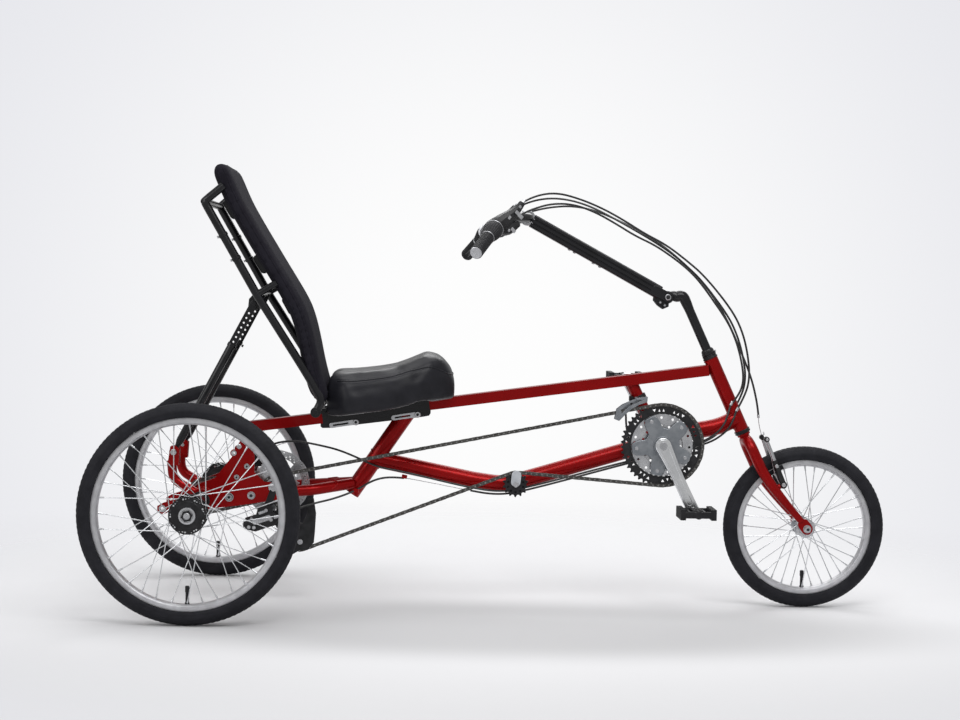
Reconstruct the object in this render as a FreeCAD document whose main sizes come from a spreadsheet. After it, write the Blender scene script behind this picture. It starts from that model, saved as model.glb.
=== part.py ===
# Recumbent trike: one steered wheel in front, two wheels behind, a seat with a reclining
# backrest, and a handlebar on a long riser. Millimetres. +X ahead, +Y to the left, +Z up.
import math
import os

import FreeCAD
import Part
import Sketcher
from FreeCAD import Placement, Rotation, Vector

doc = FreeCAD.newDocument("RecumbentTrike")

# Driving sizes, kept in a spreadsheet
SIZES = [
    ("wheelbase", 1444.5, "rear axle to front axle"),
    ("track_width", 760, "between the middle planes of the rear wheels"),
    ("rear_wheel_diameter", 495, "outside the tyre"),
    ("front_wheel_diameter", 390, "outside the tyre"),
    ("tyre_width", 44, "all three tyres"),
    ("tyre_depth", 32, "rim edge to tread"),
    ("rim_depth", 16, "rim edge to the spoke side"),
    ("rim_width", 27, "outside the rim's two walls"),
    ("rim_wall", 2.2, "wall beside the tyre"),
    ("spoke_diameter", 2.2, ""),
    ("spokes_per_wheel", 36, ""),
    ("spoke_hole_inset", 5, "spoke hole inside the flange's edge"),
    ("spoke_lean", 66, "degrees from a spoke's rim end to its flange hole"),
    ("rear_flange_diameter", 84, "rear hub flange"),
    ("front_flange_diameter", 46, "front hub flange"),
    ("rear_hub_width", 64, "between the ends of a rear hub"),
    ("flange_thickness", 4, "rear hub flange"),
    ("front_hub_width", 84, "between the ends of the front hub"),
    ("axle_diameter", 15, "rear axle"),
    ("front_axle_diameter", 9, ""),
    ("running_gap", 0.05, "radial play of a shaft in its bore"),
    ("seat_gap", 0.3, "between still pieces that seat on each other"),
    ("housing_diameter", 34, "tube round the rear axle"),
    ("drum_diameter", 72, "freewheel drum on the rear axle"),
    ("plate_spacing", 128, "between the middles of the two rear plates"),
    ("plate_thickness", 6, ""),
    ("rear_tube_diameter", 22, "bent tube of the rear frame"),
    ("rear_tube_spacing", 190, "between the two bent tubes"),
    ("mid_hub_ahead", 168, "mid hub ahead of the rear axle"),
    ("mid_hub_height", 277, ""),
    ("mid_axle_diameter", 10, ""),
    ("mid_hub_diameter", 30, ""),
    ("cog_spacing", 4.4, "from cog to cog"),
    ("chain_pitch", 12.7, ""),
    ("chain_line", 50, "drive chain's plane right of the middle"),
    ("final_chain_line", 8, "second chain's plane right of the middle"),
    ("chain_depth", 8, "height of a side plate"),
    ("ring_teeth", 48, "large chainring"),
    ("middle_ring_teeth", 38, ""),
    ("small_ring_teeth", 28, ""),
    ("cog_teeth", 12, "cog that carries the chain"),
    ("output_teeth", 15, "mid hub's second sprocket"),
    ("axle_sprocket_teeth", 20, ""),
    ("pulley_teeth", 10, "derailleur's pulleys"),
    ("idler_teeth", 14, ""),
    ("rotor_diameter", 160, "brake disc"),
    ("rotor_plane", 44, "brake disc left of the middle"),
    ("rotor_thickness", 1.8, ""),
    ("crank_ahead", 1091, "bottom bracket ahead of the rear axle"),
    ("crank_height", 391, ""),
    ("crank_length", 170, ""),
    ("crank_drop_angle", 64, "right crank below level, pointing ahead"),
    ("crank_axle_diameter", 17, ""),
    ("crank_arm_offset", 62, "inner face of a crank arm from the middle"),
    ("crank_arm_thickness", 14, ""),
    ("crank_arm_depth", 24, ""),
    ("ring_spacing", 6.5, "from chainring to chainring"),
    ("ring_thickness", 2.2, ""),
    ("shell_diameter", 42, "bottom bracket shell"),
    ("shell_width", 68, ""),
    ("pedal_pin_diameter", 10, ""),
    ("pedal_length", 84, ""),
    ("pedal_width", 92, ""),
    ("pedal_thickness", 26, ""),
    ("head_angle", 65, "steering axis above level"),
    ("head_setback", 155.5, "lower end of the head tube behind the front axle"),
    ("head_height", 428, ""),
    ("head_tube_length", 188, ""),
    ("head_tube_diameter", 34, ""),
    ("steerer_diameter", 25.4, ""),
    ("fork_rake", 42.5, "front axle ahead of the steering axis"),
    ("fork_spacing", 96, "between the middles of the fork ends"),
    ("blade_diameter", 24, ""),
    ("crown_thickness", 18, ""),
    ("brake_post_drop", 158, "brake posts below the head tube"),
    ("main_tube_diameter", 40, "lower main tube and seat strut"),
    ("top_tube_depth", 25.4, ""),
    ("top_tube_width", 38, ""),
    ("top_tube_rear_ahead", 74, ""),
    ("top_tube_rear_height", 411, ""),
    ("top_tube_joint", 156.8, "top tube meets the head tube, from its lower end"),
    ("top_tube_setback", 19.7, "top tube's end behind the steering axis"),
    ("stay_diameter", 26, ""),
    ("quill_diameter", 22.2, ""),
    ("quill_rise", 362, "top of the quill along the steering axis"),
    ("riser_pivot_setback", 188, "riser's pivot behind the lower end of the head tube"),
    ("riser_pivot_height", 744, ""),
    ("riser_length", 386, "pivot to handlebar"),
    ("riser_angle", 28.3, "above level, pointing back"),
    ("riser_depth", 34, ""),
    ("riser_width", 34, ""),
    ("riser_pin_diameter", 10, ""),
    ("stem_boss_width", 24, ""),
    ("stem_arm_diameter", 23, ""),
    ("bar_diameter", 22.2, ""),
    ("grip_diameter", 31, ""),
    ("shifter_diameter", 44, ""),
    ("cable_diameter", 5, ""),
    ("seat_width", 340, "cushion at its rear"),
    ("seat_nose_width", 210, "cushion at its front"),
    ("pan_length", 257, ""),
    ("back_width", 420, "backrest pad"),
    ("back_thickness", 36, "backrest pad"),
    ("back_tube_diameter", 19, ""),
    ("back_tube_spacing", 400, "between the two side tubes"),
    ("hinge_ahead", 270, "backrest hinge"),
    ("hinge_rise", 27.4, "backrest hinge above the top tube's middle"),
    ("hinge_pin_diameter", 16, ""),
    ("strut_spacing", 198, "between the two recline struts"),
    ("strut_tube_diameter", 25, ""),
    ("strut_bar_width", 21, ""),
    ("strut_bar_thickness", 5, ""),
    ("strut_hole_pitch", 12.7, ""),
    ("strut_hole_diameter", 6, ""),
    ("strut_bolt_diameter", 8, ""),
]

sheet = doc.addObject("Spreadsheet::Sheet", "Sizes")
for row, (alias, value, note) in enumerate(SIZES, start=1):
    sheet.set("A%d" % row, note or alias.replace("_", " "))
    sheet.set("B%d" % row, str(value))
    sheet.setAlias("B%d" % row, alias)
doc.recompute()


class Size:
    # A number that carries the spreadsheet expression it comes from.
    def __init__(self, number, text):
        self.number = float(number)
        self.text = text

    def __float__(self):
        return self.number

    def joined(self, other, sign, number):
        other_text = other.text if isinstance(other, Size) else "%.6f" % other
        return Size(number, "(%s %s %s)" % (self.text, sign, other_text))

    def __add__(self, other):
        return self.joined(other, "+", self.number + float(other))

    def __sub__(self, other):
        return self.joined(other, "-", self.number - float(other))

    def __mul__(self, other):
        return self.joined(other, "*", self.number * float(other))

    def __truediv__(self, other):
        return self.joined(other, "/", self.number / float(other))

    def __neg__(self):
        return Size(-self.number, "(-1 * %s)" % self.text)

    __radd__ = __add__
    __rmul__ = __mul__

    def __rsub__(self, other):
        return -self + other


size = {alias: Size(sheet.get(alias), "Sizes." + alias) for alias, value, note in SIZES}
half = {alias: value / 2 for alias, value in size.items()}
number = {alias: float(value) for alias, value in size.items()}

rear_x = -(number["wheelbase"] + float(half["front_wheel_diameter"])
           - float(half["rear_wheel_diameter"])) / 2
axle_height = float(half["rear_wheel_diameter"])
front_height = float(half["front_wheel_diameter"])
gap = number["seat_gap"]
play = number["running_gap"]


def at(ahead, height, left=0.0):
    # Ahead of the rear axle, above the floor, left of the middle.
    return Vector(rear_x + float(ahead), float(left), float(height))


def ordered(side, near, far):
    # Two distances from the middle, as places on one side, the lower one first.
    return sorted((side * float(near), side * float(far)))


right, left = -1, 1
sides = {"right": right, "left": left}
SIDEWAYS = Vector(0, 1, 0)
nodes = {}


# Builders
def bind(obj, **values):
    for name, value in values.items():
        if isinstance(value, Size):
            obj.setExpression(name, value.text)
        else:
            setattr(obj, name, value)


def add(kind, label):
    obj = doc.addObject(kind, label)
    obj.Label = label
    return obj


def aim(direction):
    return Rotation(Vector(0, 0, 1), direction)


def rod(label, start, direction, radius, length):
    obj = add("Part::Cylinder", label)
    bind(obj, Radius=radius, Height=length)
    obj.Placement = Placement(start, aim(direction))
    return obj


def tube_between(label, start, end, radius):
    return rod(label, start, end - start, radius, (end - start).Length)


def across(label, ahead, height, from_left, to_left, radius):
    low, high = sorted((float(from_left), float(to_left)))
    return rod(label, at(ahead, height, low), SIDEWAYS, radius, high - low)


def fused(label, *pieces):
    obj = add("Part::MultiFuse", label)
    obj.Shapes = list(pieces)
    obj.Refine = True
    return obj


def group(label, *pieces):
    obj = add("Part::Compound", label)
    obj.Links = list(pieces)
    return obj


def cut(label, base, tool):
    obj = add("Part::Cut", label)
    obj.Base = base
    obj.Tool = tool
    return obj


def ring(label, ahead, height, from_left, to_left, outer, inner):
    body = across(label + "_outside", ahead, height, from_left, to_left, outer)
    low, high = sorted((float(from_left), float(to_left)))
    bore = across(label + "_bore", ahead, height, low - 1, high + 1, inner)
    return cut(label, body, bore)


def box(label, corner, lengths, turn=None):
    obj = add("Part::Box", label)
    bind(obj, Length=lengths[0], Width=lengths[1], Height=lengths[2])
    obj.Placement = Placement(corner, turn or Rotation())
    return obj


def shaped(label, shape):
    obj = add("Part::Feature", label)
    obj.Shape = shape
    return obj


def node(obj):
    nodes[obj.Label] = obj
    return obj


def origin_plane(body, role):
    return [item for item in body.Origin.OriginFeatures if item.Role == role][0]


def outlined(body, role, points, holes=()):
    # A closed outline of straight runs, each corner held by two dimensions, with round holes.
    sketch = body.newObject("Sketcher::SketchObject", body.Name + "_outline")
    sketch.AttachmentSupport = (origin_plane(body, role), "")
    sketch.MapMode = "FlatFace"
    corners = [Vector(float(x), float(y), 0) for x, y in points]
    for start, end in zip(corners, corners[1:] + corners[:1]):
        sketch.addGeometry(Part.LineSegment(start, end))
    for index, (x, y) in enumerate(points):
        after = (index + 1) % len(points)
        sketch.addConstraint(Sketcher.Constraint("Coincident", index, 2, after, 1))
        for kind, value in (("DistanceX", x), ("DistanceY", y)):
            place = sketch.addConstraint(Sketcher.Constraint(kind, -1, 1, index, 1, float(value)))
            if isinstance(value, Size):
                sketch.setExpression("Constraints[%d]" % place, value.text)
    for x, y, radius in holes:
        middle = Vector(float(x), float(y), 0)
        circle = sketch.addGeometry(Part.Circle(middle, Vector(0, 0, 1), float(radius)))
        place = sketch.addConstraint(Sketcher.Constraint("Radius", circle, float(radius)))
        if isinstance(radius, Size):
            sketch.setExpression("Constraints[%d]" % place, radius.text)
    return sketch


def plate(label, points, left_middle, thickness, holes=()):
    # A flat plate across the middle plane, its outline given as (ahead, height).
    body = add("PartDesign::Body", label)
    sketch = outlined(body, "XZ_Plane", points, holes)
    pad = body.newObject("PartDesign::Pad", label + "_pad")
    pad.Profile = sketch
    bind(pad, Length=thickness)
    sketch.Visibility = False
    body.Placement = Placement(Vector(rear_x, float(left_middle) + float(thickness) / 2, 0), Rotation())
    return body


def turned(label, points, ahead, height, left_middle):
    # A piece turned about a sideways axis, its outline given as (radius, left of the middle).
    body = add("PartDesign::Body", label)
    sketch = outlined(body, "XY_Plane", points)
    spin = body.newObject("PartDesign::Revolution", label + "_turn")
    spin.Profile = sketch
    spin.ReferenceAxis = (sketch, ["V_Axis"])
    spin.Angle = 360
    sketch.Visibility = False
    body.Placement = Placement(at(ahead, height, left_middle), Rotation())
    return body


def bent_path(points, bend=None):
    # Straight runs joined by tangent arcs. With no bend given, each arc takes most of half of its
    # shorter run.
    most_of_half = 0.45
    edges, start, radii = [], points[0], []
    for before, corner, after in zip(points, points[1:], points[2:]):
        inward, outward = corner - before, after - corner
        turn = inward.getAngle(outward)
        reach = most_of_half * min(inward.Length, outward.Length)
        radius = reach / math.tan(turn / 2)
        if bend is not None and float(bend) < radius:
            radius = float(bend)
            reach = radius * math.tan(turn / 2)
        inward.normalize()
        outward.normalize()
        entry, leave = corner - inward * reach, corner + outward * reach
        middle = outward - inward
        middle.normalize()
        centre_distance = radius / math.cos(turn / 2)
        top = corner + middle * (centre_distance - radius)
        edges.append(Part.LineSegment(start, entry).toShape())
        edges.append(Part.Arc(entry, top, leave).toShape())
        start = leave
        radii.append(radius)
    edges.append(Part.LineSegment(start, points[-1]).toShape())
    return Part.Wire(edges), radii


def bent_tube(points, radius, bend=None):
    path, radii = bent_path(points, bend)
    profile = Part.Wire([Part.Circle(points[0], points[1] - points[0], float(radius)).toShape()])
    shape = path.makePipeShell([profile], True, False)
    expected = math.pi * float(radius) ** 2 * path.Length
    allowed = 0.01
    if abs(shape.Volume / expected - 1) > allowed:
        raise ValueError("a bent tube has the wrong volume")
    return shape, path.Length, radii


def sprocket_radius(teeth):
    return float(size["chain_pitch"]) / (2 * math.sin(math.pi / float(teeth)))


def belt(circles, grow):
    # A closed loop of tangents and arcs round circles (ahead, height, radius, sense). Sense 1 runs
    # clockwise as seen from the right, and grow moves the loop outwards.
    tangents = []
    count = len(circles)
    rolled = [(complex(a, b), sense * radius + grow) for a, b, radius, sense in circles]
    for index in range(count):
        here, here_radius = rolled[index]
        there, there_radius = rolled[(index + 1) % count]
        offset = there - here
        lean = there_radius - here_radius
        run = math.sqrt(abs(offset) ** 2 - lean ** 2)
        direction = offset * complex(run, lean) / abs(offset) ** 2
        aside = direction * -1j
        tangents.append((here - aside * here_radius, there - aside * there_radius))
    edges = []
    for index in range(count):
        start, end = tangents[index]
        edges.append(Part.LineSegment(at(start.real, start.imag), at(end.real, end.imag)).toShape())
        leave = tangents[(index + 1) % count][0]
        centre, radius = rolled[(index + 1) % count]
        first = math.atan2((end - centre).imag, (end - centre).real)
        last = math.atan2((leave - centre).imag, (leave - centre).real)
        clockwise = 1 if radius > 0 else -1
        swing = (clockwise * (first - last)) % (2 * math.pi)
        angle = first - clockwise * swing / 2
        middle = centre + abs(radius) * complex(math.cos(angle), math.sin(angle))
        edges.append(Part.Arc(at(end.real, end.imag), at(middle.real, middle.imag),
                              at(leave.real, leave.imag)).toShape())
    return Part.Wire(edges)


def chain_loop(label, circles, left_middle):
    # Two thin side plates run either side of the teeth.
    plates = []
    depth = float(half["chain_depth"])
    inside, thickness = 1.9, 1.0
    for low in (inside, -inside - thickness):
        ribbon = Part.Face(belt(circles, depth)).cut(Part.Face(belt(circles, -depth)))
        ribbon.translate(Vector(0, float(left_middle) + low, 0))
        plates += ribbon.extrude(Vector(0, thickness, 0)).Solids
    return node(shaped(label, Part.makeCompound(plates)))


# Wheels
def spokes(label, ahead, height, left_middle, flange_radius, flange_offset, rim_inside):
    # Half the spokes start at each flange, by turns outside and inside it, and cross on the way out.
    count = int(number["spokes_per_wheel"])
    radius = float(half["spoke_diameter"])
    seat = 1.4 * radius
    thread, rim_offset = 2.0, 3.0
    hole = flange_radius - number["spoke_hole_inset"]
    reach = rim_inside + thread
    pieces = []
    for index in range(count):
        side = right if index % 2 else left
        turn = index // 2
        outer = 1 if turn % 2 else -1
        angle = math.radians(360 * (2 * turn + index % 2) / count)
        hub_angle = angle + outer * math.radians(number["spoke_lean"])
        start = at(ahead + hole * math.cos(hub_angle), height + hole * math.sin(hub_angle),
                   left_middle + side * (flange_offset + outer * seat))
        end = at(ahead + reach * math.cos(angle), height + reach * math.sin(angle),
                 left_middle + side * rim_offset)
        pieces.append(Part.makeCylinder(radius, (end - start).Length, start, end - start))
    return node(shaped(label, Part.makeCompound(pieces)))


def tyre(name, ahead, tyre_radius, left_middle, rim_edge, rim_floor):
    # A round crown over the rim, with a bead between the rim's walls.
    height, tube = float(tyre_radius), half["tyre_width"]
    bead_reach = 4.0
    crown = add("Part::Torus", name + "_tyre_crown")
    bind(crown, Radius1=tyre_radius - tube, Radius2=tube)
    crown.Placement = Placement(at(ahead, height, left_middle), aim(SIDEWAYS))
    room = number["tyre_width"]
    inside = across(name + "_tyre_inside", ahead, height, left_middle - room, left_middle + room,
                    rim_edge + gap)
    bead_half = number["rim_width"] / 2 - number["rim_wall"] - gap
    bead = ring(name + "_tyre_bead", ahead, height, left_middle - bead_half, left_middle + bead_half,
                rim_edge + bead_reach, rim_floor + gap)
    node(fused(name + "_tyre", cut(name + "_tyre_cover", crown, inside), bead))


def wheel(name, ahead, tyre_radius, left_middle, hub_points, flange_radius, flange_offset):
    height = float(tyre_radius)
    rim_edge = tyre_radius - size["tyre_depth"]
    rim_inside = rim_edge - size["rim_depth"]
    rim_floor = rim_inside + 6.5
    width, wall, slope = half["rim_width"], size["rim_wall"], (4, 5)
    tyre(name, ahead, tyre_radius, left_middle, rim_edge, rim_floor)
    # the rim is a box section with two walls that hold the tyre
    profile = [
        (rim_inside, -(width - slope[1])), (rim_inside + slope[0], -width), (rim_edge, -width),
        (rim_edge, wall - width), (rim_floor, wall - width), (rim_floor, width - wall),
        (rim_edge, width - wall), (rim_edge, width), (rim_inside + slope[0], width),
        (rim_inside, width - slope[1]),
    ]
    node(turned(name + "_rim", profile, ahead, height, left_middle))
    node(turned(name + "_hub", hub_points, ahead, height, left_middle))
    spokes(name + "_spokes", ahead, height, left_middle, flange_radius, flange_offset, float(rim_inside))


def hub_outline(bore, core, end, flange, half_width, flange_start, flange_end):
    # Half of a hub's profile from end to end, as (radius, along); flange places count from the end.
    first = [(bore, -half_width), (end, -half_width), (end, -(half_width - flange_start)),
             (flange, -(half_width - flange_start)), (flange, -(half_width - flange_end)),
             (core, -(half_width - flange_end))]
    return first + [(radius, -along) for radius, along in reversed(first)]


half_track = number["track_width"] / 2
axle_radius = half["axle_diameter"]
rear_half, rear_flange = half["rear_hub_width"], half["rear_flange_diameter"]
rear_core, rear_end, rear_flange_start = 20, 18, 5
rear_flange_end = rear_flange_start + size["flange_thickness"]
rear_flange_middle = float(rear_half) - rear_flange_start - number["flange_thickness"] / 2
for side_name, side in sides.items():
    bore = axle_radius if side == right else axle_radius + size["running_gap"]
    outline = hub_outline(bore, rear_core, rear_end, rear_flange, rear_half, rear_flange_start,
                          rear_flange_end)
    wheel(side_name, 0, half["rear_wheel_diameter"], side * half_track, outline, float(rear_flange),
          rear_flange_middle)

front_bore = half["front_axle_diameter"] + size["running_gap"]
front_half, front_flange = half["front_hub_width"], half["front_flange_diameter"]
front_core, front_end, front_flange_start, front_flange_end = 13, 10, 8, 11
front_outline = hub_outline(front_bore, front_core, front_end, front_flange, front_half, front_flange_start,
                            front_flange_end)
wheel("front", number["wheelbase"], half["front_wheel_diameter"], 0.0, front_outline, float(front_flange),
      float(front_half) - (front_flange_start + front_flange_end) / 2)

# Rear axle with its freewheel drum, and the mid hub that carries the cogs and the brake disc
chain_y = -number["chain_line"]
final_y = -number["final_chain_line"]
plate_middle = number["plate_spacing"] / 2
plate_inner = plate_middle - number["plate_thickness"] / 2
plate_outer = plate_middle + number["plate_thickness"] / 2
cog_half, drum_start, collar_length, collar_radius = 1.0, 5.0, 27.0, 17.0
axle_end = half_track + float(rear_half) + 10
drum_end = plate_inner - 6
axle = across("axle_shaft", 0, axle_height, -axle_end, axle_end, axle_radius)
drum = across("axle_drum", 0, axle_height, final_y + drum_start, drum_end, half["drum_diameter"])
axle_collar = across("axle_collar", 0, axle_height, final_y + drum_start - collar_length,
                     final_y + drum_start, collar_radius)
node(fused("rear_axle", axle, drum, axle_collar))


def sprocket(label, ahead, height, plane, teeth, inner):
    tooth_height = 2.5
    return ring(label, ahead, height, plane - cog_half, plane + cog_half,
                sprocket_radius(teeth) + tooth_height, inner)


node(sprocket("axle_sprocket", 0, axle_height, final_y, number["axle_sprocket_teeth"], collar_radius + gap))

mid_x, mid_z = number["mid_hub_ahead"], number["mid_hub_height"]
mid_radius = half["mid_axle_diameter"]
hub_core = half["mid_hub_diameter"]
rotor_y = number["rotor_plane"]
nut_radius, nut_length, shaft_stub, hub_stub = 9, 8, 12, 6
shaft_reach = plate_outer + shaft_stub
mid_shaft = across("mid_shaft", mid_x, mid_z, -shaft_reach, shaft_reach, mid_radius)
mid_nuts = [across("mid_nut_" + name, mid_x, mid_z, side * (plate_outer + gap),
                   side * (plate_outer + nut_length), nut_radius) for name, side in sides.items()]
node(fused("mid_axle", mid_shaft, *mid_nuts))
mid_bore = mid_radius + size["running_gap"]
mid_points = [(mid_bore, chain_y - hub_stub), (hub_core, chain_y - hub_stub),
              (hub_core, rotor_y + hub_stub), (mid_bore, rotor_y + hub_stub)]
node(turned("mid_hub", mid_points, mid_x, mid_z, 0))

cog_teeth = [int(number["cog_teeth"]), 14, 16, 18, 21, 24, 28]
cog_tip = 2.0
cogs = []
for index, teeth in enumerate(cog_teeth):
    plane = chain_y + index * number["cog_spacing"]
    cogs.append(across("cog_%d" % teeth, mid_x, mid_z, plane - cog_half, plane + cog_half,
                       sprocket_radius(teeth) + cog_tip))
core_radius = 18
last_cog = chain_y + (len(cog_teeth) - 1) * number["cog_spacing"]
cassette_core = across("cassette_core", mid_x, mid_z, chain_y - cog_half, last_cog + cog_half, core_radius)
cassette_bore = across("cassette_bore", mid_x, mid_z, chain_y - 5, last_cog + 5, hub_core + gap)
node(cut("cassette", fused("cassette_solid", cassette_core, *cogs), cassette_bore))
node(sprocket("output_sprocket", mid_x, mid_z, final_y, number["output_teeth"], hub_core + gap))
rotor_half = number["rotor_thickness"] / 2
node(ring("brake_rotor", mid_x, mid_z, rotor_y - rotor_half, rotor_y + rotor_half, half["rotor_diameter"],
          hub_core + gap))

# Rear frames: on each side a plate at the mid hub, a sleeve on the axle housing, a bent tube up to
# the strut's bracket, and a small plate behind the axle
strut_y = number["strut_spacing"] / 2
strut_low, strut_high = (-64, 361), (118, 712)
tube_y = number["rear_tube_spacing"] / 2
housing_radius = half["housing_diameter"]
bolt_radius = half["strut_bolt_diameter"]
front_eyelet, rear_eyelet = (73, 357), (-90, 226)
ear_radius, front_eyelet_radius, rear_eyelet_radius = 8.5, 3.1, 4
arm_end = mid_x + 36
plate_outline = [(-26, 252), (-16, 230), (34, 226), (94, 234), (arm_end, 252), (arm_end, 286),
                 (mid_x - 22, 290), (mid_x - 46, 312), (mid_x - 46, 352), (104, 392), (88, 388), (76, 364),
                 (70, 350), (58, 334), (30, 298), (-10, 282)]
bracket_outline = [(-78, 330), (-52, 330), (-50, 368), (-60, 376), (-72, 374)]
tail_outline = [(-26, 240), (-22, 262), (-88, 240), (-102, 232), (-102, 218), (-88, 212)]
sleeve_outer, sleeve_radius = tube_y + 12, 27


def rear_frame(side_name, side):
    def named(part):
        return "%s_%s" % (side_name, part)

    flat = plate(named("plate_flat"), plate_outline, side * plate_middle, size["plate_thickness"],
                 holes=[(0, axle_height, housing_radius + gap), (mid_x, mid_z, mid_radius + gap)])
    ear = across(named("front_ear"), *front_eyelet, side * plate_inner, side * plate_outer, ear_radius)
    sleeve = across(named("sleeve"), 0, axle_height, side * plate_inner, side * sleeve_outer, sleeve_radius)
    bend_shape, _, _ = bent_tube([at(-8, 262, side * tube_y), at(-66, 296, side * tube_y),
                                  at(-70, 340, side * tube_y)], half["rear_tube_diameter"], 34)
    bend = shaped(named("bent_tube"), bend_shape)
    brackets = [plate(named("bracket_%d" % index), bracket_outline, side * (strut_y + offset), 4)
                for index, offset in enumerate((-10, 10))]
    bridge = box(named("bracket_bridge"), at(-77, 330, side * strut_y - 12), (24, 24, 6))
    tail = plate(named("tail_plate"), tail_outline, side * tube_y, 5)
    solid = fused(named("rear_solid"), flat, ear, sleeve, bend, bridge, tail, *brackets)
    holes = fused(named("rear_holes"),
                  across(named("axle_hole"), 0, axle_height, side * (plate_inner - 5),
                         side * (sleeve_outer + 5), housing_radius + gap),
                  across(named("front_ear_hole"), *front_eyelet, side * (plate_inner - 5),
                         side * (plate_outer + 5), front_eyelet_radius),
                  across(named("tail_hole"), *rear_eyelet, side * (tube_y - 8), side * (tube_y + 8),
                         rear_eyelet_radius),
                  across(named("bolt_hole"), *strut_low, side * (strut_y - 18), side * (strut_y + 20),
                         bolt_radius + gap))
    return cut(named("rear_frame"), solid, holes)


for side_name, side in sides.items():
    node(rear_frame(side_name, side))
housing_start, housing_end = plate_inner - 4, half_track - float(rear_half) - 3
housings = [ring(name + "_housing", 0, axle_height, side * housing_start, side * housing_end,
                 housing_radius, axle_radius + size["running_gap"]) for name, side in sides.items()]
node(group("axle_housing", *housings))
crossbar_reach = tube_y - float(half["rear_tube_diameter"]) - gap
node(box("rear_crossbar", at(-74, 320, -crossbar_reach), (6, 2 * crossbar_reach, 14)))

# Main frame: head tube, flat top tube, bent lower tube, seat strut, bottom bracket shell with a stub
# for the front changer, and two stays to the rear plates
head_slope = math.radians(number["head_angle"])
head_way = Vector(-math.cos(head_slope), 0, math.sin(head_slope))
head_ahead = number["wheelbase"] - number["head_setback"]
head_low = at(head_ahead, number["head_height"])
head_top = number["head_tube_length"]
crank_x, crank_z = number["crank_ahead"], number["crank_height"]
crank_point = at(crank_x, crank_z)
steerer_radius = half["steerer_diameter"]


def along_head(distance, forward=0.0, aside=0.0):
    ahead_way = Vector(head_way.z, 0, -head_way.x)
    return head_low + head_way * float(distance) + ahead_way * float(forward) + Vector(0, float(aside), 0)


top_start = at(number["top_tube_rear_ahead"], number["top_tube_rear_height"])
top_end = along_head(number["top_tube_joint"]) - Vector(number["top_tube_setback"], 0, 0)
top_rise = (top_end.z - top_start.z) / (top_end.x - top_start.x)
top_turn = Rotation(SIDEWAYS, -math.degrees(math.atan(top_rise)))
top_half_depth, top_half_width = float(half["top_tube_depth"]), float(half["top_tube_width"])


def top_tube_height(ahead):
    return number["top_tube_rear_height"] + top_rise * (ahead - number["top_tube_rear_ahead"])


def on_top_tube(ahead, above, left_side):
    return at(ahead, top_tube_height(ahead)) + top_turn.multVec(Vector(0, left_side, above))


head_tube = rod("head_tube", along_head(0), head_way, half["head_tube_diameter"], size["head_tube_length"])
top_tube = box("top_tube", on_top_tube(number["top_tube_rear_ahead"], -top_half_depth, -top_half_width),
               ((top_end - top_start).Length, size["top_tube_width"], size["top_tube_depth"]), top_turn)
low_points = [along_head(29.8), at(head_ahead - 57, 434), at(head_ahead - 109, 424), at(719, 285),
              at(640, 296), at(404, 343)]
low_shape, _, _ = bent_tube(low_points, half["main_tube_diameter"], 160)
low_tube = shaped("low_tube", low_shape)
strut_top, strut_foot = at(484, 459), at(350, 260)
seat_strut = tube_between("seat_strut", strut_foot, strut_top, half["main_tube_diameter"])
shell_half = float(half["shell_width"])
shell_bore = half["shell_diameter"] - 4
shell = across("bottom_shell", crank_x, crank_z, -shell_half, shell_half, half["shell_diameter"])
stub_ahead, stub_drop, stub_radius = 1018, 3, 14
stub_top = at(stub_ahead, top_tube_height(stub_ahead) - stub_drop)
stub = tube_between("stub_tube", crank_point, stub_top, stub_radius)
stays = []
for side_name, side in sides.items():
    stay_points = [at(mid_x + 38, 268, side * 72), at(262, 273, side * 69), at(352, 284, side * 18)]
    stay_shape, _, _ = bent_tube(stay_points, half["stay_diameter"], 60)
    stays.append(shaped(side_name + "_stay", stay_shape))
frame_solid = fused("frame_solid", head_tube, top_tube, low_tube, seat_strut, shell, stub, *stays)
race_room = 14
frame_cuts = fused(
    "frame_cuts",
    rod("steerer_hole", along_head(-10), head_way, steerer_radius + 1.8, size["head_tube_length"] + 20),
    across("shell_hole", crank_x, crank_z, -shell_half - 5, shell_half + 5, shell_bore),
    rod("headset_room", along_head(-race_room), head_way, 21, race_room))
node(cut("main_frame", frame_solid, frame_cuts))

cup_bore = half["crank_axle_diameter"] + size["running_gap"]
cups = [ring(name + "_cup", crank_x, crank_z, side * (shell_half - 18), side * (shell_half + 3),
             shell_bore - gap, cup_bore) for name, side in sides.items()]
node(group("bottom_bracket", *cups))
steerer_bore = steerer_radius + size["running_gap"]


def head_ring(label, low, high, outer):
    body = rod(label + "_outside", along_head(low), head_way, outer, high - low)
    bore = rod(label + "_bore", along_head(low - 1), head_way, steerer_bore, high - low + 2)
    return cut(label, body, bore)


node(group("headset", head_ring("lower_headset", -9, -gap, 20),
           head_ring("upper_headset", head_top + gap, head_top + 10, 18)))

# Cranks: three chainrings on a five-armed spider, two arms on one axle, and two pedals
ring_half, tooth_height = number["ring_thickness"] / 2, 2.5
rings = [("ring_teeth", 74), ("middle_ring_teeth", 52), ("small_ring_teeth", 34)]
ring_solids = []
for index, (teeth, inner) in enumerate(rings):
    plane = chain_y + index * number["ring_spacing"]
    ring_solids.append(ring("chainring_%d" % index, crank_x, crank_z, plane - ring_half, plane + ring_half,
                            sprocket_radius(number[teeth]) + tooth_height, inner))
node(group("chainrings", *ring_solids))

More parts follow.
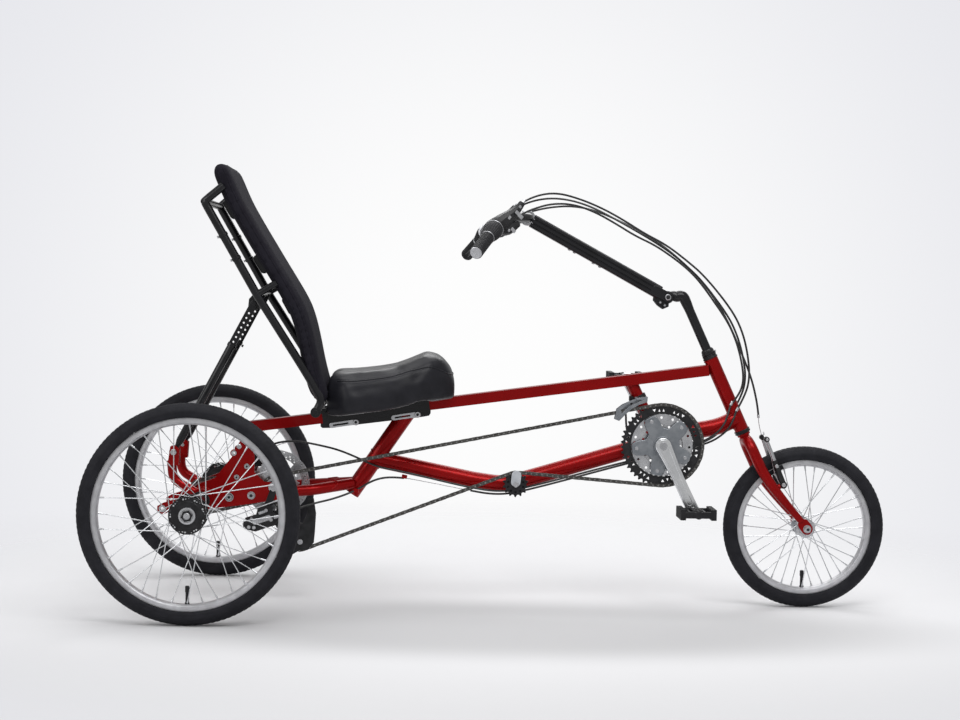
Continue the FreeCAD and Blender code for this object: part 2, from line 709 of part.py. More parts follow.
arm_inner = number["crank_arm_offset"]
arm_outer = arm_inner + number["crank_arm_thickness"]
spider_reach, spider_width, spider_depth, bolt_circle, spider_start = 80, 14, 5.5, 62, 44
spider_plane = chain_y - 7
spider_pieces = []
for index in range(5):
    angle = spider_start + 72 * index
    way = Vector(math.cos(math.radians(angle)), 0, math.sin(math.radians(angle)))
    aside = Vector(way.z, 0, -way.x) * (spider_width / 2)
    corner = crank_point + Vector(0, spider_plane, 0) + aside
    spider_pieces.append(box("spider_arm_%d" % index, corner, (spider_reach, spider_depth, spider_width),
                             Rotation(SIDEWAYS, -angle)))
    spider_pieces.append(across("spider_stud_%d" % index, crank_x + bolt_circle * way.x,
                                crank_z + bolt_circle * way.z, spider_plane, chain_y + 14.5, 5))
spider_hub = across("spider_hub", crank_x, crank_z, -arm_inner + gap, chain_y + 2, 22)
spider_bore = across("spider_bore", crank_x, crank_z, -arm_inner - 5, 0, half["crank_axle_diameter"] + gap)
node(cut("spider", fused("spider_solid", spider_hub, *spider_pieces), spider_bore))

drop = math.radians(number["crank_drop_angle"])
crank_way = Vector(math.cos(drop), 0, -math.sin(drop))
arm_depth, pin_radius = number["crank_arm_depth"], half["pedal_pin_diameter"]


def crank_tip(side):
    return crank_point + crank_way * (-side * number["crank_length"])


def crank_arm(name, side):
    tip, way = crank_tip(side), crank_way * -side
    low, high = ordered(side, arm_inner, arm_outer)
    arm_base = crank_point + Vector(0, low, 0)
    root = across(name + "_crank_root", crank_x, crank_z, low, high, 17)
    end = rod(name + "_crank_end", tip + Vector(0, low, 0), SIDEWAYS, 13, high - low)
    bar = box(name + "_crank_bar", arm_base, (size["crank_length"], high - low, size["crank_arm_depth"]),
              Rotation(Vector(1, 0, 0), way))
    turn = bar.Placement.Rotation
    bar.Placement = Placement(arm_base + turn.multVec(Vector(0, 0, -arm_depth / 2)), turn)
    pin_low, pin_high = ordered(side, arm_outer - 4, arm_outer + 12 + number["pedal_width"])
    pin = rod(name + "_pedal_pin", tip + Vector(0, pin_low, 0), SIDEWAYS, pin_radius, pin_high - pin_low)
    return fused(name + "_crank_solid", root, end, bar, pin)


axle_reach = arm_outer - 2
shaft = across("crank_shaft", crank_x, crank_z, -axle_reach, axle_reach, half["crank_axle_diameter"])
node(fused("cranks", crank_arm("right", right), crank_arm("left", left), shaft))


def pedal(name, side):
    # A cage with two windows, its pin through the middle.
    tip, border, rail = crank_tip(side), 12, 8
    low, high = ordered(side, arm_outer + 6, arm_outer + 6 + number["pedal_width"])
    length, thick = number["pedal_length"], number["pedal_thickness"]
    window_length = length / 2 - border - rail
    cage = box(name + "_pedal_cage", tip + Vector(-length / 2, low, -thick / 2),
               (size["pedal_length"], size["pedal_width"], size["pedal_thickness"]))
    windows = [box("%s_pedal_window_%d" % (name, index), tip + Vector(start, low + border, -thick),
                   (window_length, number["pedal_width"] - 2 * border, thick * 2))
               for index, start in enumerate((-length / 2 + rail, border))]
    bore = rod(name + "_pedal_bore", tip + Vector(0, low - 2, 0), SIDEWAYS, pin_radius + play,
               high - low + 4)
    return cut(name + "_pedal", cage, fused(name + "_pedal_holes", bore, *windows))


for side_name, side in sides.items():
    node(pedal(side_name, side))

# Chains, the idler that lifts the drive chain under the seat, and both changers
idler_centre, pulley_low, pulley_high = (742.0, 292.0), (232.0, 147.0), (177.0, 202.0)
pulley_radius = sprocket_radius(number["pulley_teeth"])
idler_radius = sprocket_radius(number["idler_teeth"])
drive_circles = [
    (crank_x, crank_z, sprocket_radius(number["ring_teeth"]), 1),
    (*idler_centre, idler_radius, -1),
    (*pulley_low, pulley_radius, 1),
    (*pulley_high, pulley_radius, -1),
    (mid_x, mid_z, sprocket_radius(number["cog_teeth"]), 1),
]
chain_loop("drive_chain", drive_circles, chain_y)
final_circles = [(mid_x, mid_z, sprocket_radius(number["output_teeth"]), 1),
                 (0.0, axle_height, sprocket_radius(number["axle_sprocket_teeth"]), 1)]
chain_loop("final_chain", final_circles, final_y)

wheel_half, guide_radius, guide_thickness = 1.1, 25, 2
idler_wheel = across("idler_wheel", *idler_centre, chain_y - wheel_half, chain_y + wheel_half,
                     idler_radius + 1)
guide_places = (chain_y - 6.5, chain_y + 4.5)
idler_guides = [across("idler_guide_%d" % index, *idler_centre, low, low + guide_thickness, guide_radius)
                for index, low in enumerate(guide_places)]
idler_core = across("idler_core", *idler_centre, chain_y - 8, -float(half["main_tube_diameter"]) - gap, 8)
keeper_outline = [(731, 275), (752, 275), (756, 318), (742, 330), (731, 318)]
keeper = plate("idler_keeper", keeper_outline, chain_y - 9, 3)
node(fused("chain_idler", idler_wheel, idler_core, keeper, *idler_guides))


def shifted(centre, ahead, up):
    return (centre[0] + ahead, centre[1] + up)


cage_outline = [shifted(pulley_low, 12, -12), shifted(pulley_low, 12, 12), shifted(pulley_high, 10, 16),
                shifted(pulley_high, -14, 10), shifted(pulley_high, -14, -8), shifted(pulley_low, -16, -14)]
body_outline = [(96, 178), (128, 172), (172, 190), (170, 214), (160, 236), (140, 244), (128, 236),
                (124, 214), (98, 204)]
body_thickness = 18
cage_plates = [plate("changer_cage_%d" % index, cage_outline, chain_y + offset, 1.6)
               for index, offset in enumerate((-5.6, 5.6))]
pulleys = [across("changer_pulley_%d" % index, *centre, chain_y - wheel_half, chain_y + wheel_half,
                  pulley_radius + 1) for index, centre in enumerate((pulley_low, pulley_high))]
pin_places = [(pulley_low, chain_y - 8), (pulley_high, -plate_outer - 5)]
pulley_pins = [across("changer_pin_%d" % index, *centre, pin_end, chain_y + 8, 4)
               for index, (centre, pin_end) in enumerate(pin_places)]
body_middle = -(plate_outer + gap + body_thickness / 2)
changer_body = plate("changer_body", body_outline, body_middle, body_thickness)
node(fused("rear_changer", changer_body, *cage_plates, *pulleys, *pulley_pins))

clamp_drop, clamp_depth = 55, 16
clamp_way = stub_top - crank_point
clamp_way.normalize()
clamp_low = stub_top - clamp_way * clamp_drop
clamp_ahead, clamp_height = clamp_low.x - rear_x, clamp_low.z
clamp_room = stub_radius + gap
inner_side = chain_y + 7.4
guide_outline = [(975, 452), (986, 448), (1014, 476), (1052, 494), (1052, 506), (1010, 494), (980, 476)]
changer_pieces = [
    rod("changer_clamp", clamp_low, clamp_way, 19, clamp_depth),
    box("changer_arm", at(clamp_ahead - 20, clamp_height - 2, inner_side), (24, 28, 14)),
    box("changer_bridge", at(1020, 494, chain_y - 6), (26, 15, 5)),
    box("changer_link", at(1010, 480, inner_side), (22, 6, 24)),
    plate("changer_outer_guide", guide_outline, chain_y - 5.4, 1.4),
    plate("changer_inner_guide", guide_outline, chain_y + 8, 1.4),
]
node(cut("front_changer", fused("front_changer_solid", *changer_pieces),
         rod("stub_room", clamp_low - clamp_way * 40, clamp_way, clamp_room, 90)))

caliper_start = rotor_y - 12
caliper = box("caliper_block", at(100, 316, caliper_start), (40, plate_inner - gap - caliper_start, 34))
rotor_room = rotor_half + 1.3
caliper_slot = across("caliper_slot", mid_x, mid_z, rotor_y - rotor_room, rotor_y + rotor_room,
                      half["rotor_diameter"] + 4)
node(cut("brake_caliper", caliper, caliper_slot))

# Steering: the fork with its posts and brake arms, the front axle, and the stem that carries the riser
blade_half = number["fork_spacing"] / 2
front_axle_point = at(number["wheelbase"], front_height)
post_drop = -number["brake_post_drop"]
crown_low, crown_depth = -30, 26
crown_turn = Rotation(SIDEWAYS, number["head_angle"] - 90)
crown = box("fork_crown", along_head(crown_low, -crown_depth / 2, -blade_half),
            (crown_depth, 2 * blade_half, size["crown_thickness"]), crown_turn)
steerer = rod("steerer", along_head(crown_low), head_way, steerer_radius, size["head_tube_length"] + 62)
race = rod("crown_race", along_head(-14), head_way, 19, 4.5)
blade_low = along_head(-150, 2)
blade_end = front_axle_point + (blade_low - front_axle_point).normalize() * 15
end_radius, post_radius = 14, 6
blades = []
for side_name, side in sides.items():
    aside = Vector(0, side * (blade_half - 4), 0)
    blade_points = [along_head(-20, 0, side * (blade_half - 8)), blade_low + aside,
                    blade_end + Vector(0, side * (blade_half + 1), 0)]
    blade_shape, _, _ = bent_tube(blade_points, half["blade_diameter"] - 1, 170)
    blades.append(shaped(side_name + "_blade", blade_shape))
    low, high = ordered(side, blade_half - 2, blade_half + 4)
    blades.append(rod(side_name + "_fork_end", front_axle_point + Vector(0, low, 0), SIDEWAYS, end_radius,
                      high - low))
    blades.append(tube_between(side_name + "_brake_post", along_head(post_drop, 8, side * (blade_half - 8)),
                               along_head(post_drop, 27.5, side * (blade_half - 12)), post_radius))
fork_solid = fused("fork_solid", crown, steerer, race, *blades)
hub_reach = float(front_half) + 1
axle_slot = rod("front_axle_slot", front_axle_point + Vector(0, -80, 0), SIDEWAYS,
                half["front_axle_diameter"] + gap, 160)
hub_relief = rod("front_hub_relief", front_axle_point + Vector(0, -hub_reach, 0), SIDEWAYS, 18,
                 2 * hub_reach)
node(cut("fork", fork_solid, fused("fork_cuts", axle_slot, hub_relief)))

axle_half = blade_half + 16
front_axle = rod("front_axle_rod", front_axle_point + Vector(0, -axle_half, 0), SIDEWAYS,
                 half["front_axle_diameter"], 2 * axle_half)
axle_nuts = []
for side_name, side in sides.items():
    low, high = ordered(side, blade_half + 4 + gap, blade_half + 13)
    axle_nuts.append(rod(side_name + "_axle_nut", front_axle_point + Vector(0, low, 0), SIDEWAYS, 9,
                         high - low))
node(fused("front_axle", front_axle, *axle_nuts))

pad_radius, pad_length, pad_height, rim_gap, pad_back = 155.5, 44, 10, 1.5, 27.6
brake_arms, brake_pads = [], []
for side_name, side in sides.items():
    foot = along_head(post_drop, 34, side * (blade_half - 12))
    arm_top = along_head(-42, 42, side * 30)
    below = foot - (arm_top - foot) * 0.06
    brake_arms.append(tube_between(side_name + "_brake_arm", below, arm_top, 6))
    pad_out = (along_head(post_drop, 34) - front_axle_point).normalize()
    pad_turn = Rotation(Vector(pad_out.z, 0, -pad_out.x), SIDEWAYS, pad_out, "XYZ")
    low, high = ordered(side, float(half["rim_width"]) + rim_gap, pad_back)
    pad_corner = front_axle_point + pad_out * pad_radius + Vector(0, low, 0)
    pad_corner += pad_turn.multVec(Vector(-pad_length / 2, 0, -pad_height / 2))
    brake_pads.append(box(side_name + "_brake_pad", pad_corner, (pad_length, high - low, pad_height),
                          pad_turn))
node(group("front_brake_arms", *brake_arms))
node(group("front_brake_pads", *brake_pads))

quill_top = number["quill_rise"]
quill_start = head_top + 24
pivot = at(head_ahead - number["riser_pivot_setback"], number["riser_pivot_height"])
boss_half = number["stem_boss_width"] / 2
riser_pin_radius = half["riser_pin_diameter"]
stem_solid = fused(
    "stem_solid",
    rod("headset_nut", along_head(head_top + 10 + gap), head_way, 17, 14),
    rod("quill", along_head(quill_start), head_way, half["quill_diameter"], quill_top - quill_start),
    tube_between("stem_arm", along_head(quill_top - 8), pivot, half["stem_arm_diameter"]),
    rod("stem_boss", pivot + Vector(0, -boss_half, 0), SIDEWAYS, 15, size["stem_boss_width"]),
    rod("stem_top", along_head(quill_top - 20), head_way, 14, 22),
    rod("riser_pin", pivot + Vector(0, -2 * boss_half, 0), SIDEWAYS, riser_pin_radius, 4 * boss_half))
stem_hollow = rod("stem_hollow", along_head(head_top + 5), head_way, steerer_bore + gap, 28)
node(cut("stem", stem_solid, stem_hollow))

# Riser: a square beam that tilts on the stem's pin, with a clamp for the handlebar
rise = math.radians(number["riser_angle"])
riser_way = Vector(-math.cos(rise), 0, math.sin(rise))
riser_up = Vector(math.sin(rise), 0, math.cos(rise))
riser_turn = Rotation(riser_way, SIDEWAYS * -1, riser_up, "XYZ")
riser_length = number["riser_length"]


def on_riser(distance, upward=0.0, aside=0.0):
    return pivot + riser_way * float(distance) + riser_up * float(upward) + Vector(0, float(aside), 0)


def riser_box(label, start, length, width, depth):
    corner = on_riser(start, -float(depth) / 2, float(width) / 2)
    return box(label, corner, (length, width, depth), riser_turn)


beam_start, ear_thickness, ear_depth = 22, 4.4, 22
beam = riser_box("riser_beam", beam_start, riser_length - 24 - beam_start, size["riser_width"],
                 size["riser_depth"])
clamp_block = riser_box("bar_clamp_block", riser_length - 26, 40, 30, 34)
ears = []
for side_name, side in sides.items():
    ear_middle = side * (boss_half + gap + ear_thickness / 2)
    ears.append(box(side_name + "_riser_ear", on_riser(-10, -ear_depth / 2, ear_middle + ear_thickness / 2),
                    (40, ear_thickness, ear_depth), riser_turn))
bar_point = on_riser(riser_length)
boss_room = boss_half + gap
riser_cuts = fused(
    "riser_cuts",
    rod("bar_hole", bar_point + Vector(0, -60, 0), SIDEWAYS, half["bar_diameter"] + gap, 120),
    rod("pin_hole", pivot + Vector(0, -60, 0), SIDEWAYS, riser_pin_radius + play, 120),
    rod("boss_room", pivot + Vector(0, -boss_room, 0), SIDEWAYS, 22, 2 * boss_room))
node(cut("riser", fused("riser_solid", beam, clamp_block, *ears), riser_cuts))

# Handlebar, its points from the middle to the right tip counted from the clamp, and what it carries
bar_run = [(0, 0, -60), (-65, -2, -142), (-133, -87, -330)]
right_bar = [bar_point + Vector(ahead, aside, up) for ahead, up, aside in bar_run]
left_bar = [Vector(point.x, -point.y, point.z) for point in right_bar]
bar_shape, _, _ = bent_tube(list(reversed(right_bar)) + left_bar, half["bar_diameter"], 45)
node(shaped("handlebar", bar_shape))
grip_tip = right_bar[2]
grip_way = right_bar[1] - grip_tip
grip_way.normalize()
cap_thickness = 4


def sleeves_on_bar(label, start, length, radius):
    # One sleeve on each side, from a place along the grip end of the bar. A sleeve that starts
    # beyond the tip is closed there.
    closed = start < 0
    pieces = []
    for side_name, side in sides.items():
        def mirrored(point):
            return Vector(point.x, -side * point.y, point.z)

        way = mirrored(grip_way)
        base = mirrored(grip_tip + grip_way * start)
        bore_start, bore_length = (cap_thickness, length) if closed else (-5, length + 10)
        outside = rod("%s_%s_outside" % (side_name, label), base, way, radius, length)
        bore = rod("%s_%s_bore" % (side_name, label), base + way * bore_start, way,
                   half["bar_diameter"] + gap, bore_length)
        pieces.append(cut("%s_%s" % (side_name, label), outside, bore))
    return pieces


grip_length, shifter_length, lever_clamp_length = 92, 52, 22
grip_start = -cap_thickness - gap
shifter_start = grip_start + grip_length + 0.6
clamp_start = 141
node(group("grips", *sleeves_on_bar("grip", grip_start, grip_length, half["grip_diameter"])))
node(group("twist_shifters", *sleeves_on_bar("shifter", shifter_start, shifter_length,
                                             half["shifter_diameter"])))
lever_clamps = sleeves_on_bar("lever_clamp", clamp_start, lever_clamp_length, 17)
lever_root = grip_tip + grip_way * (clamp_start + lever_clamp_length / 2)
# Each blade runs back beside its grip, on the inner side
inward = Vector(0, 1, 0) - grip_way * grip_way.y
inward.normalize()
blade_room, blade_length = 32, 100
lever_points = [lever_root + inward * 13, lever_root + inward * blade_room,
                lever_root + inward * blade_room - grip_way * blade_length]
lever_pieces = []
for side_name, side, clamp_piece in zip(sides, sides.values(), lever_clamps):
    mirrored_points = [Vector(point.x, -side * point.y, point.z) for point in lever_points]
    lever_shape, _, _ = bent_tube(mirrored_points, 5, 12)
    blade = shaped(side_name + "_lever_blade", lever_shape)
    lever_pieces.append(fused(side_name + "_brake_lever", clamp_piece, blade))
node(group("brake_levers", *lever_pieces))

# Seat: a pan that slides along the top tube and is held by two quick-release levers
pan_start, pan_wall, pan_lip = 279.0, 4, 2
pan_half = top_half_width + gap + pan_wall
pan_top = top_half_depth + gap + 5
pan_outer = box("pan_outer", on_top_tube(pan_start, -top_half_depth - pan_lip, -pan_half),
                (size["pan_length"], 2 * pan_half, top_half_depth + pan_lip + pan_top), top_turn)
pan_room = box("pan_room", on_top_tube(pan_start - 5, -top_half_depth - 5, -top_half_width - gap),
               (size["pan_length"] + 10, 2 * (top_half_width + gap), 2 * top_half_depth + 5 + gap),
               top_turn)
wing_half, wing_thickness = 110, 4
wing = box("pan_wing", on_top_tube(pan_start + 12, pan_top - wing_thickness, -wing_half),
           (230, 2 * wing_half, wing_thickness), top_turn)
hinge_radius = half["hinge_pin_diameter"]
hinge_x = number["hinge_ahead"]
hinge_z = top_tube_height(hinge_x) + number["hinge_rise"]
back_half = number["back_tube_spacing"] / 2
pin_end = back_half + 8
hinge_pin = across("hinge_pin", hinge_x, hinge_z, -pin_end, pin_end, hinge_radius)
hinge_web = box("hinge_web", on_top_tube(hinge_x - 4, pan_top - 5, -60), (30, 120, 11), top_turn)
strut_room = tube_between("strut_room", strut_foot, strut_top, half["main_tube_diameter"] + 1)
node(cut("seat_pan", fused("pan_solid", pan_outer, wing, hinge_pin, hinge_web),
         fused("pan_cuts", pan_room, strut_room)))
quick_length, quick_thickness, quick_depth = 70, 6, 9
quick_levers = []
for name, start in (("rear", 22), ("front", 166)):
    corner = on_top_tube(pan_start + start, -4, -pan_half - gap - quick_thickness)
    quick_levers.append(box(name + "_quick_lever", corner, (quick_length, quick_thickness, quick_depth),
                            top_turn))
node(group("quick_release_levers", *quick_levers))


def cushion_base(ahead):
    return top_tube_height(ahead) + (pan_top + gap) * math.sqrt(1 + top_rise ** 2)


# The cushion is its side view across the seat, cut to its outline from above
cushion_rear, cushion_front = 308, 584
side_view = [(cushion_rear, cushion_base(cushion_rear)), (cushion_front, cushion_base(cushion_front)),
             (591, 512), (582, 560), (566, 586), (536, 598), (502, 592), (452, 575), (393, 563), (330, 556),
             (312, 545)]
cushion_side = plate("cushion_side", side_view, 0, size["seat_width"] + 20)
plan_half, nose_half = number["seat_width"] / 2, number["seat_nose_width"] / 2
right_plan = [(300, plan_half - 30), (330, plan_half), (420, plan_half), (520, nose_half + 14),
              (570, nose_half), (592, nose_half - 40)]
plan_points = [(ahead, -aside) for ahead, aside in right_plan] + list(reversed(right_plan))
plan_body = add("PartDesign::Body", "cushion_plan")
plan_pad = plan_body.newObject("PartDesign::Pad", "cushion_plan_pad")
plan_pad.Profile = outlined(plan_body, "XY_Plane", plan_points)
plan_pad.Length = 300
plan_body.Placement = Placement(Vector(rear_x, 0, 400), Rotation())
cushion = add("Part::Common", "seat_cushion")
cushion.Base = cushion_side
cushion.Tool = plan_body
node(cushion)

# Backrest: two bent side tubes with cross bars and arms, and a pad on them
back_radius = half["back_tube_diameter"]
upper_end, upper_bend, mid_joint, arm_tip = at(52, 985), at(7, 949), at(131, 734), at(176, 758)
eye_radius, eye_half, tab_thickness = 14, 9, 5.5
tab_outline = [(104, 698), (128, 698), (142, 730), (124, 742), (106, 722)]
cross_radius = back_radius - 1
back_pieces = []
for side_name, side in sides.items():
    aside = Vector(0, side * back_half, 0)
    upper_points = [upper_end + aside, upper_bend + aside, mid_joint + aside]
    upper_shape, _, _ = bent_tube(upper_points, back_radius, 22)
    back_pieces.append(shaped(side_name + "_back_upper", upper_shape))
    foot = at(hinge_x, hinge_z) + aside
    back_pieces.append(tube_between(side_name + "_back_lower", foot, mid_joint + aside, back_radius))
    back_pieces.append(tube_between(side_name + "_back_arm", mid_joint + aside, arm_tip + aside, 8))
    back_pieces.append(across(side_name + "_back_eye", hinge_x, hinge_z, side * (back_half - eye_half),
                              side * (back_half + eye_half), eye_radius))
    tab_middle = side * (strut_y - 3.5 - tab_thickness / 2)
    back_pieces.append(plate(side_name + "_strut_tab", tab_outline, tab_middle, tab_thickness))
for name, place in (("top", upper_bend), ("mid", mid_joint)):
    back_pieces.append(across("back_%s_bar" % name, place.x - rear_x, place.z, -back_half, back_half,
                              cross_radius))
back_solid = fused("back_solid", *back_pieces)
eye_holes = across("back_eye_holes", hinge_x, hinge_z, -back_half - 20, back_half + 20,
                   hinge_radius + size["running_gap"])
node(cut("back_frame", back_solid, eye_holes))

spine = [at(52, 1024), at(222, 718), at(282, 500)]
spine_bend = 420.0
pad_half = number["back_thickness"] / 2


def pad_shape():
    # The pad's side view is a strip of even thickness along a bent spine, with rounded ends.
    upper, lower = spine[1] - spine[0], spine[2] - spine[1]
    turn = upper.getAngle(lower)
    reach = spine_bend * math.tan(turn / 2)
    upper.normalize()
    lower.normalize()
    faces = [Vector(-way.z, 0, way.x) for way in (upper, lower)]
    outward = faces[0] + faces[1]
    outward.normalize()
    crest = spine[1] - outward * (spine_bend / math.cos(turn / 2) - spine_bend)
    run = [(spine[0], faces[0]), (spine[1] - upper * reach, faces[0]), (crest, outward),
           (spine[1] + lower * reach, faces[1]), (spine[2], faces[1])]
    front = [point + face * pad_half for point, face in run]
    rear = [point - face * pad_half for point, face in run]
    edges = [
        Part.LineSegment(front[0], front[1]), Part.Arc(front[1], front[2], front[3]),
        Part.LineSegment(front[3], front[4]), Part.Arc(front[4], spine[2] + lower * pad_half, rear[4]),
        Part.LineSegment(rear[4], rear[3]), Part.Arc(rear[3], rear[2], rear[1]),
        Part.LineSegment(rear[1], rear[0]), Part.Arc(rear[0], spine[0] - upper * pad_half, front[0]),
    ]
    face = Part.Face(Part.Wire([edge.toShape() for edge in edges]))
    width = number["back_width"]
    face.translate(Vector(0, -width / 2, 0))
    return face.extrude(Vector(0, width, 0))


node(cut("backrest_pad", shaped("pad_solid", pad_shape()), back_solid))

# Recline struts: a hollow tube on the rear frame's bolt, and a flat perforated bar that slides in it
sleeve_start, sleeve_end, bar_start, neck_radius, eye_width = 26.0, 288.0, 196.0, 5.5, 11.4
strut_foot_point, strut_top_point = at(*strut_low), at(*strut_high)
strut_way = strut_top_point - strut_foot_point
strut_length = strut_way.Length
strut_way.normalize()
strut_turn = Rotation(strut_way, SIDEWAYS, Vector(0, 0, 0), "XYZ")
bar_width, bar_thickness = number["strut_bar_width"], number["strut_bar_thickness"]
hole_pitch = number["strut_hole_pitch"]
top_margin, strut_wall, head_radius = 10, 1.4, 8


def strut_tube(name, side):
    foot = strut_foot_point + Vector(0, side * strut_y, 0)
    eye_near, eye_far = side * (strut_y - eye_width / 2), side * (strut_y + eye_width / 2)
    outside = [
        rod(name + "_strut_sleeve", foot + strut_way * sleeve_start, strut_way,
            half["strut_tube_diameter"], sleeve_end - sleeve_start),
        across(name + "_strut_eye", *strut_low, eye_near, eye_far, 11),
        rod(name + "_strut_neck", foot, strut_way, neck_radius, sleeve_start + 4),
    ]
    inside = [
        rod(name + "_strut_hollow", foot + strut_way * (sleeve_start + 30), strut_way,
            half["strut_tube_diameter"] - strut_wall, sleeve_end),
        across(name + "_strut_eye_bore", *strut_low, eye_near - 5 * side, eye_far + 5 * side,
               bolt_radius + play),
    ]
    return cut(name + "_strut_tube", fused(name + "_strut_outside", *outside),
               fused(name + "_strut_inside", *inside))


def strut_bar(name, side):
    foot = strut_foot_point + Vector(0, side * strut_y, 0)
    base = foot + strut_way * bar_start
    bar_length = strut_length + top_margin - bar_start
    flat_bar = box(name + "_strut_flat", base, (bar_length, bar_thickness, bar_width), strut_turn)
    turn = flat_bar.Placement.Rotation
    flat_bar.Placement = Placement(base + turn.multVec(Vector(0, -bar_thickness / 2, -bar_width / 2)), turn)
    count = int((strut_length - 24 - bar_start) // hole_pitch)
    holes = []
    for index in range(1, count):
        middle = foot + strut_way * (strut_length - hole_pitch * (index + 1))
        holes.append(rod("%s_strut_hole_%d" % (name, index), middle + Vector(0, -8, 0), SIDEWAYS,
                         half["strut_hole_diameter"], 16))
    perforated = cut(name + "_strut_perforated", flat_bar, fused(name + "_strut_holes", *holes))
    bolt = across(name + "_top_bolt", *strut_high, side * (strut_y - 3.2), side * (strut_y + 8),
                  bolt_radius)
    head = across(name + "_top_head", *strut_high, side * (strut_y + bar_thickness / 2),
                  side * (strut_y + 8), head_radius)
    return fused(name + "_strut_bar", perforated, bolt, head)


def strut_pivot(name, side):
    shank = across(name + "_pivot_shank", *strut_low, side * (strut_y - 14), side * (strut_y + 14),
                   bolt_radius)
    head = across(name + "_pivot_head", *strut_low, side * (strut_y + 12 + gap), side * (strut_y + 17),
                  head_radius)
    return fused(name + "_strut_pivot", shank, head)


node(group("strut_tubes", *[strut_tube(name, side) for name, side in sides.items()]))
node(group("strut_bars", *[strut_bar(name, side) for name, side in sides.items()]))
node(group("strut_bolts", *[strut_pivot(name, side) for name, side in sides.items()]))

# Cables, as points ahead of the rear axle, above the floor and left of the middle
cable_radius = half["cable_diameter"]
joint_gap = 0.4


def cable(label, route, start_gap=0.0):
    points = [at(ahead, height, aside) for ahead, height, aside in route]
    run = points[1] - points[0]
    points[0] = points[0] + run * (start_gap / run.Length)
    shape, length, radii = bent_tube(points, cable_radius)
    print("%s: length %.0f, tightest bend %.0f" % (label, length, min(radii)))
    return shaped(label, shape)


# Each control cable has an upper piece, from the handlebar to a point beside the stem, and a
# lower piece, from there to its stop on the head tube
control_routes = {
    "rear_shift": (
        [
            (681.3, 909.7, -218.3), (691.9, 923, -188.9), (724, 946, -146), (770, 968, -106), (822, 981, -76),
            (880, 977, -56), (938, 953, -42), (990, 928, -34), (1040, 901, -28), (1090, 871, -24),
            (1138, 837, -22), (1190, 795, -19), (1226, 752, -17),
        ],
        [
            (1226, 752, -17), (1258, 714, -15), (1284, 662, -15), (1298, 606, -15), (1303, 552, -16),
            (1292, 510, -18), (1272, 474.3, -19.6),
        ],
    ),
    "front_shift": (
        [
            (681.3, 909.7, 218.3), (691.9, 923, 188.9), (722, 944, 146), (764, 963, 108), (812, 972, 72),
            (862, 969, 38), (914, 955, 8), (966, 931, -10), (1016, 904, -16), (1064, 877, -16),
            (1110, 848, -13), (1152, 814, -10), (1188, 780, -7), (1218, 742, -5),
        ],
        [
            (1218, 742, -5), (1249, 703, -4), (1274, 652, -3), (1289, 600, -2), (1297, 552, 4),
            (1290, 510, 13), (1272, 474.3, 19.6),
        ],
    ),
    "rear_brake": (
        [
            (692.5, 900.7, -192), (700.6, 910.9, -169.5), (728, 927, -136), (768, 942, -108), (816, 952, -84),
            (868, 951, -60), (920, 937, -44), (970, 914, -33), (1018, 889, -27), (1064, 864, -24),
            (1108, 835, -22), (1148, 804, -22), (1182, 770, -22), (1212, 734, -24),
        ],
        [
            (1212, 734, -24), (1242, 694, -26), (1266, 644, -27), (1281, 592, -27), (1287, 548, -26),
            (1278, 514, -23), (1258, 488.4, -19.8),
        ],
    ),
}
node(group("control_cables_upper", *[cable(name + "_upper", upper)
                                     for name, (upper, lower) in control_routes.items()]))
node(group("control_cables_lower", *[cable(name + "_lower", lower, joint_gap)
                                     for name, (upper, lower) in control_routes.items()]))
brake_route = [
    (692.5, 900.7, 192), (700.6, 910.9, 169.5), (728, 927, 140), (772, 942, 114), (824, 951, 93),
    (878, 954, 72), (932, 945, 50), (984, 926, 30), (1036, 901, 16), (1086, 870, 8),
    (1134, 832, 8), (1180, 790, 10), (1222, 738, 13), (1256, 680, 14), (1284, 618, 14),
    (1310, 558, 13), (1324, 508, 14), (1332, 468, 19), (1335, 436, 27), (1344.7, 408.4, 30),
]
node(cable("front_brake_cable", brake_route))
frame_routes = {
    "rear_shift_line": [
        (1271.2, 473.2, -19.8), (1264, 450, -25), (1248, 424, -28), (1210, 396, -22), (1156, 382, -10),
        (1096, 361, -7), (1040, 350, -6), (770, 272, -6), (700, 260, -6), (620, 273, -6),
        (540, 288, -8), (470, 301, -16), (412, 300, -27), (360, 268, -34), (310, 250, -48),
        (262, 240, -64), (216, 226, -80), (180, 212, -88),
    ],
    "rear_brake_line": [
        (1257.3, 487.1, -20.1), (1250, 462, -29), (1236, 432, -36), (1202, 404, -32), (1152, 386, -24),
        (1096, 364, -21), (1040, 357, -20), (770, 280, -20), (700, 269, -20), (620, 282, -20),
        (540, 300, -22), (470, 316, -26), (412, 326, -30), (368, 346, -31), (318, 366, -30),
        (268, 376, -20), (222, 382, 4), (180, 378, 34), (148, 366, 49.5), (129.8, 351.6, 51),
    ],
    "front_shift_line": [
        (1271.2, 473.2, 19.8), (1264, 450, 25), (1248, 424, 28), (1210, 397, 21), (1166, 385, 10),
        (1122, 370, 6), (1078, 356, 10), (1040, 362, 26), (1020, 394, 36), (1012, 432, 32),
        (1010, 462, 20), (1004, 478, 4),
    ],
}
node(group("frame_cables", *[cable(name, route) for name, route in frame_routes.items()]))

# Check and export
doc.recompute()
for obj in doc.Objects:
    if any(word in obj.State for word in ("Invalid", "Error")):
        raise ValueError("%s failed: %s" % (obj.Label, obj.State))
for label, obj in nodes.items():
    shape = obj.Shape
    if shape.isNull() or not shape.isValid():
        raise ValueError(label + " has no valid shape")
os.makedirs("parts", exist_ok=True)
for label, obj in nodes.items():
    obj.Shape.exportStep(os.path.join("parts", label + ".step"))
print("%d pieces written" % len(nodes))
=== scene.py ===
import math
import bpy
import bmesh
from mathutils import Matrix, Vector
from mathutils.bvhtree import BVHTree


